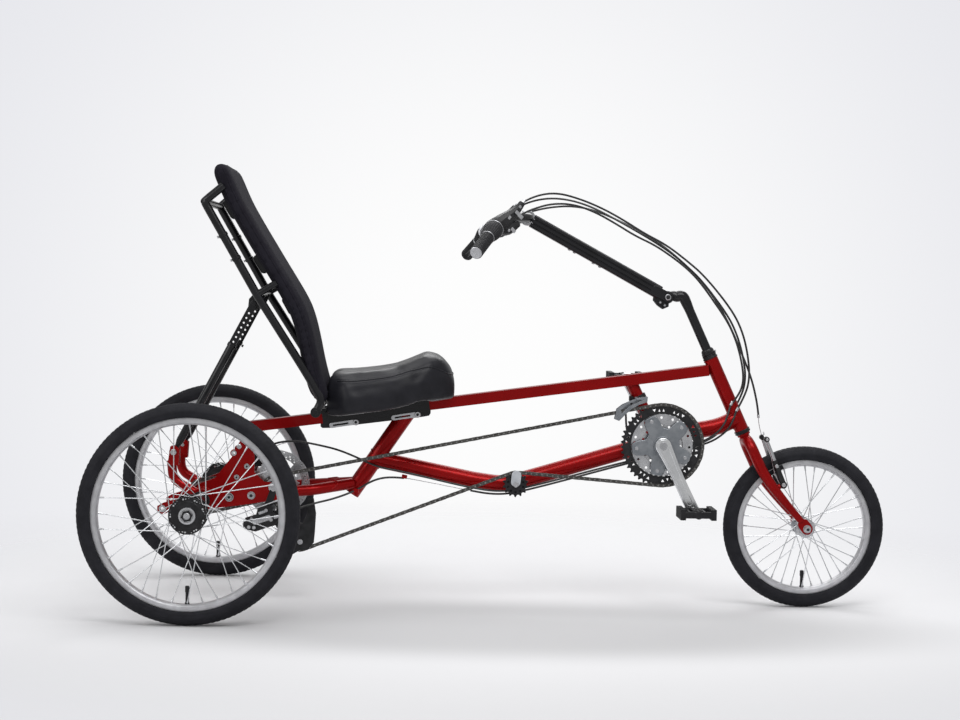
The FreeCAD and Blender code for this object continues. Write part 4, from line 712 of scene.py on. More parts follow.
def makeCranks():
    silver, dark, caps = bmesh.new(), bmesh.new(), bmesh.new()
    length, thickness = 170.0, 13.6
    for side in (-1, 1):
        out = sideAxis * side
        turn = crankTurn(side)
        base = side * 69.0
        addFlat(silver, [armOutline(length, 17, 12.6, 3.2)], sideMatrix(*crankPlace, base, turn), thickness,
                2.6)
        lip, cut = armOutline(length, 14, 9.8, 3.4), armOutline(length - 34, 9.6, 6.6, 2.4)
        cut = [(reach + 14, aside) for reach, aside in cut]
        addFlat(silver, [lip, cut], sideMatrix(*crankPlace, base + side * 6.9, turn), 1.6, 0.7)
        tip = crankSpot + Vector((math.cos(turn), 0, math.sin(turn))) * length / 1000
        addStud(silver, tip, out, 74, 173, 4.9, 16)
        addStud(silver, tip, out, 75.5, 81.4, 8, 20, 0.6)
        addAcross(dark, *crankPlace, side * 34, side * 62.2, 8.5)
        addWasher(dark, crankSpot, 17.1, 19.4, 62.2, 63.6, 40, out)
        addLathe(caps, [(0.1, 77), (9.4, 77), (10.2, 76.2), (10.2, 74), (0.1, 74)], crankSpot, out, 32)
    finishPiece("crankArms", silver, "crank", "polishedMetal", "cranks", 40)
    finishPiece("crankAxle", dark, "crank", "blackMetal")
    finishPiece("crankCaps", caps, "crank", "silverMetal")


def makePedal(name, side):
    bm = bmesh.new()
    turn = crankTurn(side)
    middle = crankSpot + Vector((math.cos(turn), 0, math.sin(turn))) * 0.17
    low = 82.0

    def part(ahead, left, size, bevel=1.5):
        addBlock(bm, middle + Vector((ahead, side * left, 0)) / 1000, size, bevel=bevel)

    for ahead in (-36, 36):
        part(ahead, low + 46, (10, 92, 17), 3)
        for index in range(9):
            part(ahead, low + 6 + index * 10, (13, 4.5, 25.6), 1.6)
    for left in (low + 5, low + 87):
        part(0, left, (76, 9, 16), 3)
    part(0, low + 46, (20, 90, 14), 5)
    for index in range(7):
        part(0, low + 16 + index * 10, (24, 3.5, 19))
    for ahead in (-18, 18):
        part(ahead, low + 46, (5, 84, 11), 1)
    addStud(bm, middle, sideAxis * side, low + 88, low + 93, 10, 20, 2)
    finishPiece(name + "Pedal", bm, name + "_pedal", "blackPlastic", name + "_pedal")


def loopPath(circles):
    # tangents and arcs round circles (ahead, height, radius, sense), as one list of short runs
    count = len(circles)
    rolled = [(complex(a, b), sense * radius) for a, b, radius, sense in circles]
    runs = []
    for (here, hereSize), (there, thereSize) in zip(rolled, rolled[1:] + rolled[:1]):
        offset, lean = there - here, thereSize - hereSize
        aside = offset * complex(math.sqrt(abs(offset) ** 2 - lean ** 2), lean) / abs(offset) ** 2 * -1j
        runs.append((here - aside * hereSize, there - aside * thereSize))
    points = []
    for index, (start, end) in enumerate(runs):
        points += [start, end]
        centre, radius = rolled[(index + 1) % count]
        first, last = phase(end - centre), phase(runs[(index + 1) % count][0] - centre)
        way = 1 if radius > 0 else -1
        swing = (way * (first - last)) % (2 * math.pi)
        steps = max(2, int(swing * abs(radius) / 2))
        for step in range(1, steps):
            points.append(centre + complex(*polar(abs(radius), first - way * swing * step / steps)))
    return points


def sampleLoop(points, pitch):
    # evenly spaced places on a closed path, their number the nearest even one
    follow = points[1:] + points[:1]
    lengths = [abs(there - here) for here, there in zip(points, follow)]
    count = 2 * round(sum(lengths) / pitch / 2)
    places, index, done = [], 0, 0.0
    for step in range(count):
        wanted = sum(lengths) * step / count
        while done + lengths[index] < wanted:
            done += lengths[index]
            index += 1
        places.append(points[index] + (follow[index] - points[index])
                      * (wanted - done) / max(lengths[index], 1e-9))
    return places


def makeChain(name, circles, left, node):
    pins = sampleLoop(loopPath(circles), chainPitch)
    plates, rollers = bmesh.new(), bmesh.new()
    inner, outer = [flatMesh([slot2d((0, 0), (chainPitch, 0), half, 5)], thickness, 0.2)
                    for half, thickness in ((3.7, 0.9), (3.9, 1.0))]
    for index, here in enumerate(pins):
        there = pins[(index + 1) % len(pins)]
        plate, aside = (outer, 3.05) if index % 2 else (inner, 1.95)
        for offset in (aside, -aside):
            addMesh(plates, plate.copy(), sideMatrix(here.real, here.imag, left + offset,
                                                     phase(there - here)))
        addAcross(rollers, here.real, here.imag, left - 3.9, left + 3.9, 1.9, 8)
        addAcross(rollers, here.real, here.imag, left - 1.4, left + 1.4, 3.6, 10)
    for plate in (inner, outer):
        bpy.data.meshes.remove(plate)
    finishPiece(name + "Plates", plates, "frame", "chainSteel", node)
    finishPiece(name + "Pins", rollers, "frame", "chainBright", limit=40)
    print(name, "links:", len(pins))


makeChainrings()
makeSpider()
makeCranks()
makePedal("right", -1)
makePedal("left", 1)
makeChain("driveChain", [
    (*crankPlace, pitchRadius(48), 1), (*idlerPlace, pitchRadius(14), -1), (*pulleyLow, pitchRadius(10), 1),
    (*pulleyHigh, pitchRadius(10), -1), (*midPlace, pitchRadius(12), 1)], chainLeft, "drive_chain")
makeChain("finalChain", [(*midPlace, pitchRadius(15), 1), (*axlePlace, pitchRadius(20), 1)], finalLeft,
          "final_chain")
print("cranks and chains made")


# sprockets of the second chain, cassette, mid hub, disc and caliper

def arcWindow(inner, outer, start, end, steps=6):
    loop = [polar(inner, start + (end - start) * step / steps) for step in range(steps + 1)]
    return loop + [polar(outer, end + (start - end) * step / steps) for step in range(steps + 1)]


def makeCassette():
    bm, single, drum = bmesh.new(), bmesh.new(), bmesh.new()
    for index, teeth in enumerate((12, 14, 16, 18, 21, 24, 28)):
        windows = []
        if teeth > 17:
            for arm in range(6):
                middle = math.radians(60 * arm + 8 * index)
                windows.append(arcWindow(21.5, pitchRadius(teeth) - 8, middle - 0.3, middle + 0.3))
        addSprocket(bm, midPlace, chainLeft + 4.4 * index, teeth, 15.4, 1.9, windows, 0.3 * index)
    addLathe(bm, [(15.4, -54.6), (19, -54.6), (20, -53.8), (20, -51.6), (15.4, -51.6)], midSpot, segments=36)
    addWasher(bm, midSpot, 15.4, 18, -49, -24, 36)
    finishPiece("cassetteCogs", bm, "mid_hub", "silverMetal", "cassette")
    addSprocket(single, midPlace, finalLeft, 15, 15.4, 2.0)
    addLathe(single, [(15.4, -12), (20, -12), (20.5, -11.4), (20.5, -4.6), (20, -4), (15.4, -4)], midSpot)
    finishPiece("outputSprocket", single, "mid_hub", "silverMetal", "output_sprocket")
    windows = [arcWindow(24, 32.5, math.radians(60 * arm - 20), math.radians(60 * arm + 20))
               for arm in range(6)]
    addSprocket(drum, axlePlace, finalLeft, 20, 17.4, 2.0, windows)
    finishPiece("axleSprocket", drum, "right_wheel", "silverMetal", "axle_sprocket")


def makeMidHub():
    bm = bmesh.new()
    profile = [(5.4, -56), (13, -56), (15, -55), (15, -21), (19, -20), (21, -18.6), (21, -14), (15, -12.6),
               (15, 2), (12.6, 6), (12.6, 30), (15, 34), (19, 38), (19.6, 39), (19.6, 42.4), (15, 42.6),
               (15, 49), (14, 50), (5.4, 50)]
    addLathe(bm, profile, midSpot, segments=48)
    finishPiece("midHub", bm, "mid_hub", "blackMetal", "mid_hub", 28)
    axle = bmesh.new()
    addAcross(axle, *midPlace, -79, 79, 5, 20, 0.8)
    for side in (-1, 1):
        addAcross(axle, *midPlace, side * 67.3, side * 69, 12.4, 32, 0.4)
        addHex(axle, *midPlace, side * 69, 9, 6.4, 0.4, side)
    finishPiece("midAxle", axle, "frame", "silverMetal", "mid_axle", 28)


def makeDisc():
    bm = bmesh.new()
    loops = [[polar(79.4 + 0.6 * math.cos(12 * turn), turn) for turn in turnsRound(120)],
             roundHole(0, 0, 15.3, 40)]
    for arm in turnsRound(6):
        loops.append([polar(radius, arm + turn) for radius, turn in (
            (25, -0.26), (25, 0.26), (60, 0.54), (61, 0.36), (61.4, 0.16), (61, -0.04), (60, -0.22))])
    for row, radius in enumerate((65.5, 70.2, 74.9)):
        loops += [roundHole(*polar(radius, math.radians(10 * index + 3.3 * row)), 1.9, 8)
                  for index in range(36) if (index + row) % 4]
    addFlat(bm, loops, sideMatrix(*midPlace, 44), 1.9, 0.2)
    for arm in turnsRound(6):
        ahead, height = polar(18, arm + math.radians(30))
        addAcross(bm, midPlace[0] + ahead, midPlace[1] + height, 44.5, 47, 3, 12, 0.5)
    finishPiece("brakeDisc", bm, "mid_hub", "silverMetal", "brake_rotor", 28)


def makeCaliper():
    black, silver = bmesh.new(), bmesh.new()
    addBlock(black, spot(120, 333, 36.6), (39, 9, 33), bevel=3)
    addBlock(black, spot(120, 333, 54), (39, 13.4, 33), bevel=4)
    addBlock(black, spot(106.4, 346.6, 46), (12, 22, 11), bevel=2)
    addBlock(black, spot(108, 320, 57), (14, 7, 12), bevel=2)
    addAcross(black, 124, 331, 26.5, 33, 13, 32, 2)
    addFlat(black, [slot2d((124, 331), (106, 352), 5)], sideMatrix(left=28.4), 3.4, 0.6)
    finishPiece("caliperBody", black, "frame", "blackMetal", "brake_caliper")
    for ahead, height in ((107, 323), (134, 343)):
        addAcross(silver, ahead, height, 29.4, 63.6, 2.9, 14)
        addHex(silver, ahead, height, 32.2, 4.8, 3.4, 0.3, -1)
    addLathe(silver, [(0.1, 22.6), (7, 22.6), (9.6, 23.6), (10, 25), (10, 26.6), (0.1, 26.6)], spot(131, 306))
    addAcross(silver, 131, 306, 26, 52, 5.5, 20)
    addRod(silver, spot(129.4, 351, 51), spot(127, 345, 51), 3.2, 14, 0.5)
    finishPiece("caliperBolts", silver, "frame", "silverMetal")


makeCassette()
makeMidHub()
makeDisc()
makeCaliper()


# idler and derailleurs

def makeIdler():
    black, keeper, bolt = bmesh.new(), bmesh.new(), bmesh.new()
    addSprocket(black, idlerPlace, chainLeft, 14, 8.4, 2.0)
    addAcross(black, *idlerPlace, -58.5, -20.2, 8, 28, 0.5)
    holes = [roundHole(*polar(19, math.radians(turn)), 3.3, 14) for turn in range(18, 360, 36)]
    rim = [roundHole(0, 0, 25, 64), roundHole(0, 0, 8.1, 28)]
    for left in (-55.5, -44.5):
        addFlat(black, rim + holes, sideMatrix(*idlerPlace, left), 2, 0.5)
    addAcross(black, *idlerPlace, -44, -38, 13, 32, 1)
    finishPiece("idlerWheels", black, "frame", "blackPlastic", "chain_idler")
    addFlat(keeper, [slot2d((742, 298), (743.5, 314), 10.6, 10)], sideMatrix(left=-59.2), 2.8, 0.9)
    addAcross(keeper, 743.6, 315, -58.6, -50, 4.2, 18, 0.6)
    finishPiece("idlerKeeper", keeper, "frame", "greyPlastic")
    addHex(bolt, *idlerPlace, -60.4, 6.4, 3.6, 0.4)
    finishPiece("idlerBolt", bolt, "frame", "silverMetal")


def toward(start, end, share):
    return tuple(first + (second - first) * share for first, second in zip(start, end))


def makeRearChanger():
    black, silver = bmesh.new(), bmesh.new()
    holes = [slot2d(toward(pulleyLow, pulleyHigh, 0.34), toward(pulleyLow, pulleyHigh, 0.62), 7.5)]
    cage = [(262, 250), (268, 214), (266, 172), (264, 146), (250, 128), (232, 128), (216, 118), (206, 128),
            (214, 150), (196, 172), (166, 190), (160, 206), (170, 218), (186, 218), (214, 196), (238, 190),
            (248, 214), (250, 248)]
    for left in (-55.6, -44.4):
        addFlat(black, [cage] + holes, sideMatrix(left=left), 1.7, 0.5)
    windows = [roundHole(*polar(11.4, turn), 2.3, 10) for turn in turnsRound(6)]
    for place in (pulleyLow, pulleyHigh):
        addSprocket(black, place, chainLeft, 10, 5, 2.4, windows, bevel=0.4)
        addAcross(silver, *place, -57.6, -43, 4.4, 20, 0.6)
        addAcross(silver, *place, -58.4, -57, 6.4, 24, 0.6)
    # the body: hanger knuckle, two parallel links and the lower knuckle that carries the cage
    addLathe(black, [(3, -84.6), (13, -84.6), (15, -82.6), (15, -70), (13.4, -67.8), (3, -67.8)],
             spot(152, 224))
    addLathe(black, [(3, -84.4), (14, -84.4), (16, -82.4), (16, -60), (14, -57.4), (3, -57.4)],
             spot(164, 202))
    for offset, left in ((0, -81.4), (2, -71.2)):
        outline = [(104, 180 + offset), (128, 175), (170, 190), (166, 214), (146, 232), (134, 228),
                   (130, 212), (104, 201 + offset)]
        addFlat(black, [outline], sideMatrix(left=left), 5.4, 1.8)
    addBlock(black, spot(112, 190, -76.2), (27, 13, 17), pitched(0.12), 4)
    addFlat(black, [slot2d((152, 224), (167, 268), 7.5, 10)], sideMatrix(left=-69.4), 3.4, 0.8)
    finishPiece("rearChangerBody", black, "frame", "blackMetal", "rear_changer", 32)
    addFlat(silver, [slot2d((126, 196), (158, 207), 5.6, 10)], sideMatrix(left=-84.6), 1.6, 0.5)
    addFlat(silver, [[(136, 214), (150, 219), (148, 224), (134, 219)]], sideMatrix(left=-84.6), 1.4, 0.4)
    for place in (spot(112, 184), spot(124, 183), spot(152, 224), spot(164, 202)):
        addLathe(silver, [(0.1, -86.4), (3.6, -86.4), (4.2, -85.8), (4.2, -82), (0.1, -82)], place,
                 segments=20)
    addAcross(silver, 118, 204, -85.6, -70, 3.2, 16, 0.5)
    addRod(silver, spot(97, 190, -76), spot(108, 190, -76), 3.4, 16, 0.6)
    addRod(silver, spot(180, 211.6, -88), spot(172, 206, -82), 3.6, 16, 0.6)
    finishPiece("rearChangerBolts", silver, "frame", "silverMetal")


stubTop = spot(1018, 541.1)


def makeFrontChanger():
    black, silver = bmesh.new(), bmesh.new()
    way = (stubTop - crankSpot).normalized()
    low = stubTop - way * 0.055
    middle = low + way * 0.008
    addLathe(black, [(14.3, 0), (17.6, 0), (18.6, 1), (18.6, 15), (17.6, 16), (14.3, 16)], low, way)
    addBlock(black, middle - Vector((0.0195, 0.004, 0)), (10, 16, 12), bevel=2)
    outline = [(975, 452), (986, 448), (1000, 463), (1014, 476), (1032, 487), (1052, 494), (1053, 506),
               (1032, 503), (1010, 494), (994, 487), (980, 476)]
    window = [(992, 466), (1008, 482), (1030, 493), (1046, 499), (1044, 501), (1026, 498), (1006, 488),
              (989, 474)]
    addFlat(silver, [outline, window], sideMatrix(left=-55.6), 1.4, 0.35)
    addFlat(silver, [outline], sideMatrix(left=-42), 1.4, 0.35)
    addBlock(silver, spot(1036, 500.6, -49), (25, 13, 3.6), pitched(0.26), 0.8)
    addBlock(silver, spot(985, 470, -49), (3, 13, 3), pitched(0.5), 0.6)
    for ahead, height in ((1012, 488), (1028, 486)):
        end = middle + Vector((0.002 + (ahead - 1020) / 2000, -0.017, (height - 487) / 1000))
        addRod(black, spot(ahead, height, -41.6), end, 5.2, 14, 1)
    addBlock(black, spot(1020, 487, -38), (26, 9, 13), bevel=2.4)
    addAcross(silver, 1024, 484, -36, -30, 3, 14, 0.4)
    finishPiece("frontChangerBody", black, "frame", "blackMetal", "front_changer", 32)
    finishPiece("frontChangerCage", silver, "frame", "greyMetal")


makeIdler()
makeRearChanger()
makeFrontChanger()
print("derailleurs made")


# frame: painted tubes with weld beads, bolts, guides and axle parts

def nodeTree(name):
    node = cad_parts[name]
    mesh = node.data
    places = [node.matrix_world @ vert.co for vert in mesh.vertices]
    return BVHTree.FromPolygons(places, [tuple(face.vertices) for face in mesh.polygons])


def addWeld(bm, tree, start, end, half, size=1.9, steps=56):
    # a bead where a tube that runs from start towards end meets what lies ahead of it;
    # half is its radius, or the half width and half depth of a flat tube
    across, up, along = sideFrame(end - start)
    wide, deep = half if isinstance(half, tuple) else (half, half)
    power = 0.22 if isinstance(half, tuple) else 1.0
    hits = []
    for angle in turnsRound(steps):
        aside, above = [math.copysign(abs(share) ** power, share) * (reach + 0.35)
                        for share, reach in ((math.cos(angle), wide), (math.sin(angle), deep))]
        hits.append(tree.ray_cast(start + (across * aside + up * above) / 1000, along,
                                  (end - start).length * 1.3)[0])
    if None not in hits:
        addTrail(bm, hits, size, 8, closed=True)
        return
    first = hits.index(None)
    run = []
    for place in hits[first:] + hits[:first] + [None]:
        if place is not None and (not run or (place - run[-1]).length < 0.02):
            run.append(place)
            continue
        if len(run) > 3:
            addTrail(bm, run, size, 8)
        run = [] if place is None else [place]


headLow = spot(1289, 428)
headSlope = math.radians(65)
headWay = Vector((-math.cos(headSlope), 0, math.sin(headSlope)))
headAhead = Vector((headWay.z, 0, -headWay.x))


def onHead(distance, forward=0.0, left=0.0):
    return headLow + (headWay * distance + headAhead * forward + sideAxis * left) / 1000


def makeMainFrameWelds():
    bm = bmesh.new()
    tree = nodeTree("main_frame")
    for start, end, half in (
            (spot(1130, 559.8), spot(1190, 568.3), (12.7, 19)), (spot(1246, 440.6), spot(1272, 453), 20),
            (spot(430, 379), spot(480, 453), 20), (spot(480, 325), spot(404, 343), 20),
            (spot(1091, 391, -33), crankSpot, 21), (spot(290, 275.8, -52.5), spot(340, 282.5, -25), 13),
            (spot(1091, 391, 33), crankSpot, 21), (spot(290, 275.8, 52.5), spot(340, 282.5, 25), 13),
            (spot(1044, 487), spot(1058, 459), 14), (spot(1034, 508), spot(1026, 525), 14)):
        addWeld(bm, tree, start, end, half)
    finishPiece("mainFrameWelds", bm, "frame", "redPaint", limit=60)


def makeRearFrameWelds():
    bm = bmesh.new()
    for name, side in (("right", -1), ("left", 1)):
        tree = nodeTree(name + "_rear_frame")
        addTrail(bm, circle(spot(0, 247.5, side * 67.4), Vector((1, 0, 0)), upAxis, 27.6, 40), 1.8, 8,
                 closed=True)
        addWeld(bm, tree, spot(-50, 287.3, side * 95), spot(-8, 262, side * 95), 11)
        addWeld(bm, tree, spot(-67, 310, side * 95), spot(-69.6, 336, side * 95), 11)
    finishPiece("rearFrameWelds", bm, "frame", "redPaint", limit=60)


def makePlateBolts():
    silver, dark = bmesh.new(), bmesh.new()
    for side in (-1, 1):
        out, base = sideAxis * side, 67.1
        for ahead, height, washer, nut in ((63.4, 252.4, 10.5, 6.8), (115.4, 257, 9.5, 7.4),
                                           (104.2, 326, 6.6, 4.8), (80.4, 300, 6.2, 4.4)):
            place = spot(ahead, height, side * base)
            addStud(silver, place, out, 0, 1.5, washer, 32, 0.4)
            addStud(dark, place, out, 1.3, 1.9, washer * 0.78, 32)
            addHex(silver, ahead, height, side * (base + 1.8), nut, 4.4, 0.4, side)
            addStud(dark, place, out, 5.6, 6.6, nut * 0.52, 16, 0.3)
        addWasher(silver, spot(73, 357), 3.15, 6.4, base, base + 0.9, axis=out)
        addLathe(silver, [(0.1, base), (5.4, base), (6, base + 0.8), (4, base + 2.2), (0.1, base + 2.2)],
                 spot(85, 373), out, 28)
        addWasher(silver, spot(-90, 226), 4.1, 8.4, 97.6, 98.6, axis=out)
        # the strut's lower bolt, with a washer each side
        for left in (91.2, 106.9):
            addWasher(silver, spot(-64, 361), 4.6, 8.2, left - 1.4, left, 28, out)
        addLathe(dark, [(8.2, 346), (15.4, 346), (17.6, 344.6), (17.6, 338), (17.2, 337.4), (8.2, 337.4)],
                 axleSpot, out, 40)
        addLathe(dark, [(17.05, 106), (21, 106), (22, 107.2), (22, 115), (21, 116), (17.05, 116)], axleSpot,
                 out, 40)
    finishPiece("plateBolts", silver, "frame", "silverMetal", limit=28)
    finishPiece("axleCollars", dark, "frame", "blackMetal", limit=28)


def makeRearAxle():
    steel, drum = bmesh.new(), bmesh.new()
    addAcross(steel, *axlePlace, -421.5, 421.5, 7.45, 28, 1)
    finishPiece("rearAxle", steel, "right_wheel", "silverMetal", "rear_axle")
    profile = [(7.5, -29.6), (16, -29.6), (17, -28.8), (17, -3), (30, -3), (34, -1), (36, 2)]
    for low in range(8, 53, 9):
        profile += [(36, low), (34.8, low + 1), (34.8, low + 2.6), (36, low + 3.6)]
    profile += [(36, 52), (33, 55), (7.5, 55)]
    addLathe(drum, profile, axleSpot, segments=64)
    finishPiece("axleDrum", drum, "right_wheel", "blackMetal", limit=28)


def makeBottomBracket():
    bm = bmesh.new()
    rim = [polar(20.5 if index % 4 < 2 else 19.4, turn) for index, turn in enumerate(turnsRound(48))]
    for side in (-1, 1):
        addFlat(bm, [rim, roundHole(0, 0, 9.2, 32)], sideMatrix(*crankPlace, side * 35.7), 3, 0.4)
        addWasher(bm, crankSpot, 9.2, 16.4, 18, 35, 40, sideAxis * side)
    finishPiece("bottomBracket", bm, "frame", "blackMetal", "bottom_bracket", 28)


def makeCableStops():
    # small welded stops that hold the housings under the lower tube and on the head tube
    red, silver = bmesh.new(), bmesh.new()
    for ahead, height, left in ((635, 279, -6), (477, 301, -16), (362, 268, -34), (1040, 352, -6),
                                (1150, 384, -10)):
        addBlock(red, spot(ahead, height, left) + Vector((0, 0, 0.0015)), (13, 8, 9), pitched(0.2), 2)
    for left in (-19.8, 19.8):
        addRod(silver, spot(1276.2, 482.4, left), spot(1271.4, 473.6, left), 3.6, 16, 0.5)
    addRod(silver, spot(1262, 497.6, -19.9), spot(1257.4, 487.2, -20), 3.6, 16, 0.5)
    finishPiece("cableStops", red, "frame", "redPaint", limit=40)
    finishPiece("cableFerrules", silver, "frame", "silverMetal")


for nodeName, nodeFinish in (("main_frame", "redPaint"), ("right_rear_frame", "redPaint"),
                             ("left_rear_frame", "redPaint"), ("axle_housing", "blackPaint"),
                             ("rear_crossbar", "silverMetal")):
    paintNode(nodeName, nodeFinish)
makeMainFrameWelds()
makeRearFrameWelds()
makePlateBolts()
makeRearAxle()
makeBottomBracket()
makeCableStops()
print("frame made")


# steering: fork, headset, stem, front axle and the rim brake

frontAxle = spot(1444.5, 195)


def smoothRun(points, steps=6):
    # a smooth run of points through the given ones
    run = []
    padded = [points[0] * 2 - points[1], *points, points[-1] * 2 - points[-2]]
    for first, start, end, last in zip(padded, padded[1:], padded[2:], padded[3:]):
        for share in (step / steps for step in range(steps)):
            run.append(0.5 * (2 * start + (end - first) * share
                              + (2 * first - 5 * start + 4 * end - last) * share ** 2
                              + (3 * start - first - 3 * end + last) * share ** 3))
    return run + [points[-1]]


def spread(values, count):
    # the given values, drawn out evenly over more places
    drawn = []
    for index in range(count):
        place = index / (count - 1) * (len(values) - 1)
        low = min(int(place), len(values) - 2)
        drawn.append(values[low] + (values[low + 1] - values[low]) * (place - low))
    return drawn


def makeFork():
    bm = bmesh.new()
    addRod(bm, onHead(-24), onHead(206), 12.5, 24)
    addLathe(bm, [(12.6, -15), (15.6, -15), (16, -12), (15.6, -9.6), (12.6, -9.6)], headLow, headWay, 40)
    reach = frontAxle - headLow
    endDistance, endForward = reach.dot(headWay) * 1000, reach.dot(headAhead) * 1000
    halves = []
    for side in (-1, 1):
        bottom = onHead(endDistance + 22, endForward - 4.5, side * 48)
        start, bend = onHead(-100, 0, side * 44), onHead(-152, 4, side * 44.5)
        half = []
        for step in range(9):
            turn = math.radians(90 * step / 8)
            half.append(onHead(-57 + 30 * math.cos(turn), 0, side * (14 + 29.5 * math.sin(turn))))
        half = [onHead(-27, 0, side * 10), *half, onHead(-62, 0, side * 43.5)]
        for share in (step / 12 for step in range(13)):
            half.append(start * (1 - share) ** 2 + bend * 2 * share * (1 - share) + bottom * share ** 2)
        halves.append(half)
        way = (bottom - frontAxle).normalized()
        addFlat(bm, [slot2d((0, 0), (way.x * 30, way.z * 30), 13, 10), roundHole(0, 0, 4.9)],
                sideMatrix(1444.5, 195, side * 49.2), 5.6, 1)
        addRod(bm, onHead(-158, 6, side * 42), onHead(-158, 27.5, side * 36), 6.4, 20, 0.8)
        addRod(bm, onHead(-158, 2, side * 43), onHead(-158, 14, side * 40), 9, 20, taper=7)
    sizes = [13] * 10 + spread([13, 12.6, 12.2, 11, 9.4, 8], 14)
    addTrail(bm, halves[0][::-1] + halves[1], sizes[::-1] + sizes, 28)
    finishPiece("forkBlades", bm, "steering", "redPaint", "fork", 40)


def makeHeadset():
    bm = bmesh.new()
    lower = [(13, -9.3), (17.6, -9.3), (18.6, -8.6), (19.4, -7), (19.4, -5.4), (17.8, -4.8), (17.8, -3),
             (19.6, -2.4), (19.6, -0.9), (18.9, -0.3), (13, -0.3)]
    upper = [(13, 188.3), (17.9, 188.3), (18.3, 189), (18.3, 191), (17.2, 191.8), (16.6, 195), (17.4, 195.8),
             (17.4, 197.4), (16.8, 198), (13, 198)]
    for profile in (lower, upper):
        addLathe(bm, profile, headLow, headWay, 48)
    finishPiece("headsetCups", bm, "frame", "blackMetal", "headset", 28)


stemPivot = spot(1101, 744)


def makeStem():
    bm, dark, silver = bmesh.new(), bmesh.new(), bmesh.new()
    nut = [(12.7, 198.4), (16, 198.4), (16.7, 199.2), (16.7, 203.6), (15.4, 204.4), (15.4, 208),
           (13.4, 212.1), (12.7, 212.1)]
    addLathe(dark, nut, headLow, headWay, 12)
    addRod(silver, onHead(201, 15.6, -4), onHead(201, 18.6, -5), 2.6, 6, 0.4)
    bend = [onHead(distance) for distance in (206, 240, 280, 314, 332)]
    bend += [onHead(349, -1), onHead(356, -7), onHead(358, -16)]
    arm = [bend[-1].lerp(stemPivot, share) + upAxis * lift / 1000
           for share, lift in ((0.3, 3), (0.6, 2.2), (0.9, 0.5))]
    run = smoothRun(bend + arm, 4)
    addTrail(bm, run, spread([11.1, 11.1, 11.1, 11.2, 12.6, 13.4, 13.4, 12.8, 11.6, 11, 10.6], len(run)), 28)
    addLathe(bm, [(5.1, -12), (13.6, -12), (15, -10.8), (15, 10.8), (13.6, 12), (5.1, 12)], stemPivot,
             segments=40)
    # the lug under the beam with its two clamp bolts
    lug = [(1069, 748), (1083, 757), (1104, 738), (1103, 722), (1090, 716), (1078, 724), (1068, 736)]
    for side in (-1, 1):
        out = sideAxis * side
        addFlat(bm, [lug], sideMatrix(left=side * 9), 4, 0.8)
        for place in (spot(1082.6, 731.4), spot(1093.5, 724.5)):
            addStud(dark, place, out, 11, 16.5, 5.4, 20, 1.2)
            addStud(silver, place, out, 16, 17.2, 2.6, 6)
        addStud(silver, stemPivot, out, 16.8, 20.4, 7.4, 24, 1)
        addStud(dark, stemPivot, out, 20.2, 24, 4.6, 6, 0.4)
    addStud(bm, stemPivot, sideAxis, -21, 21, 5, 16)
    finishPiece("stemBody", bm, "steering", "blackPaint", "stem", 38)
    finishPiece("stemNuts", dark, "steering", "blackMetal", limit=28)
    finishPiece("stemBolts", silver, "steering", "silverMetal", limit=28)


def makeFrontAxle():
    silver, dark = bmesh.new(), bmesh.new()
    addStud(silver, frontAxle, sideAxis, -63.8, 63.8, 4.5, 20, 0.6)
    for side in (-1, 1):
        out = sideAxis * side
        addWasher(silver, frontAxle, 4.6, 9.6, 52.2, 53.4, axis=out)
        addHex(silver, 1444.5, 195, side * 53.4, 8.8, 5, 0.3, side)
        addLathe(silver, [(4.6, 58), (8, 58), (7, 60.6), (4.6, 61)], frontAxle, out, 32)
        addStud(dark, frontAxle, out, 63.2, 64, 3.6)
    finishPiece("frontAxleNuts", silver, "steering", "silverMetal", "front_axle", 28)
    finishPiece("frontAxleEnds", dark, "steering", "blackMetal", limit=28)


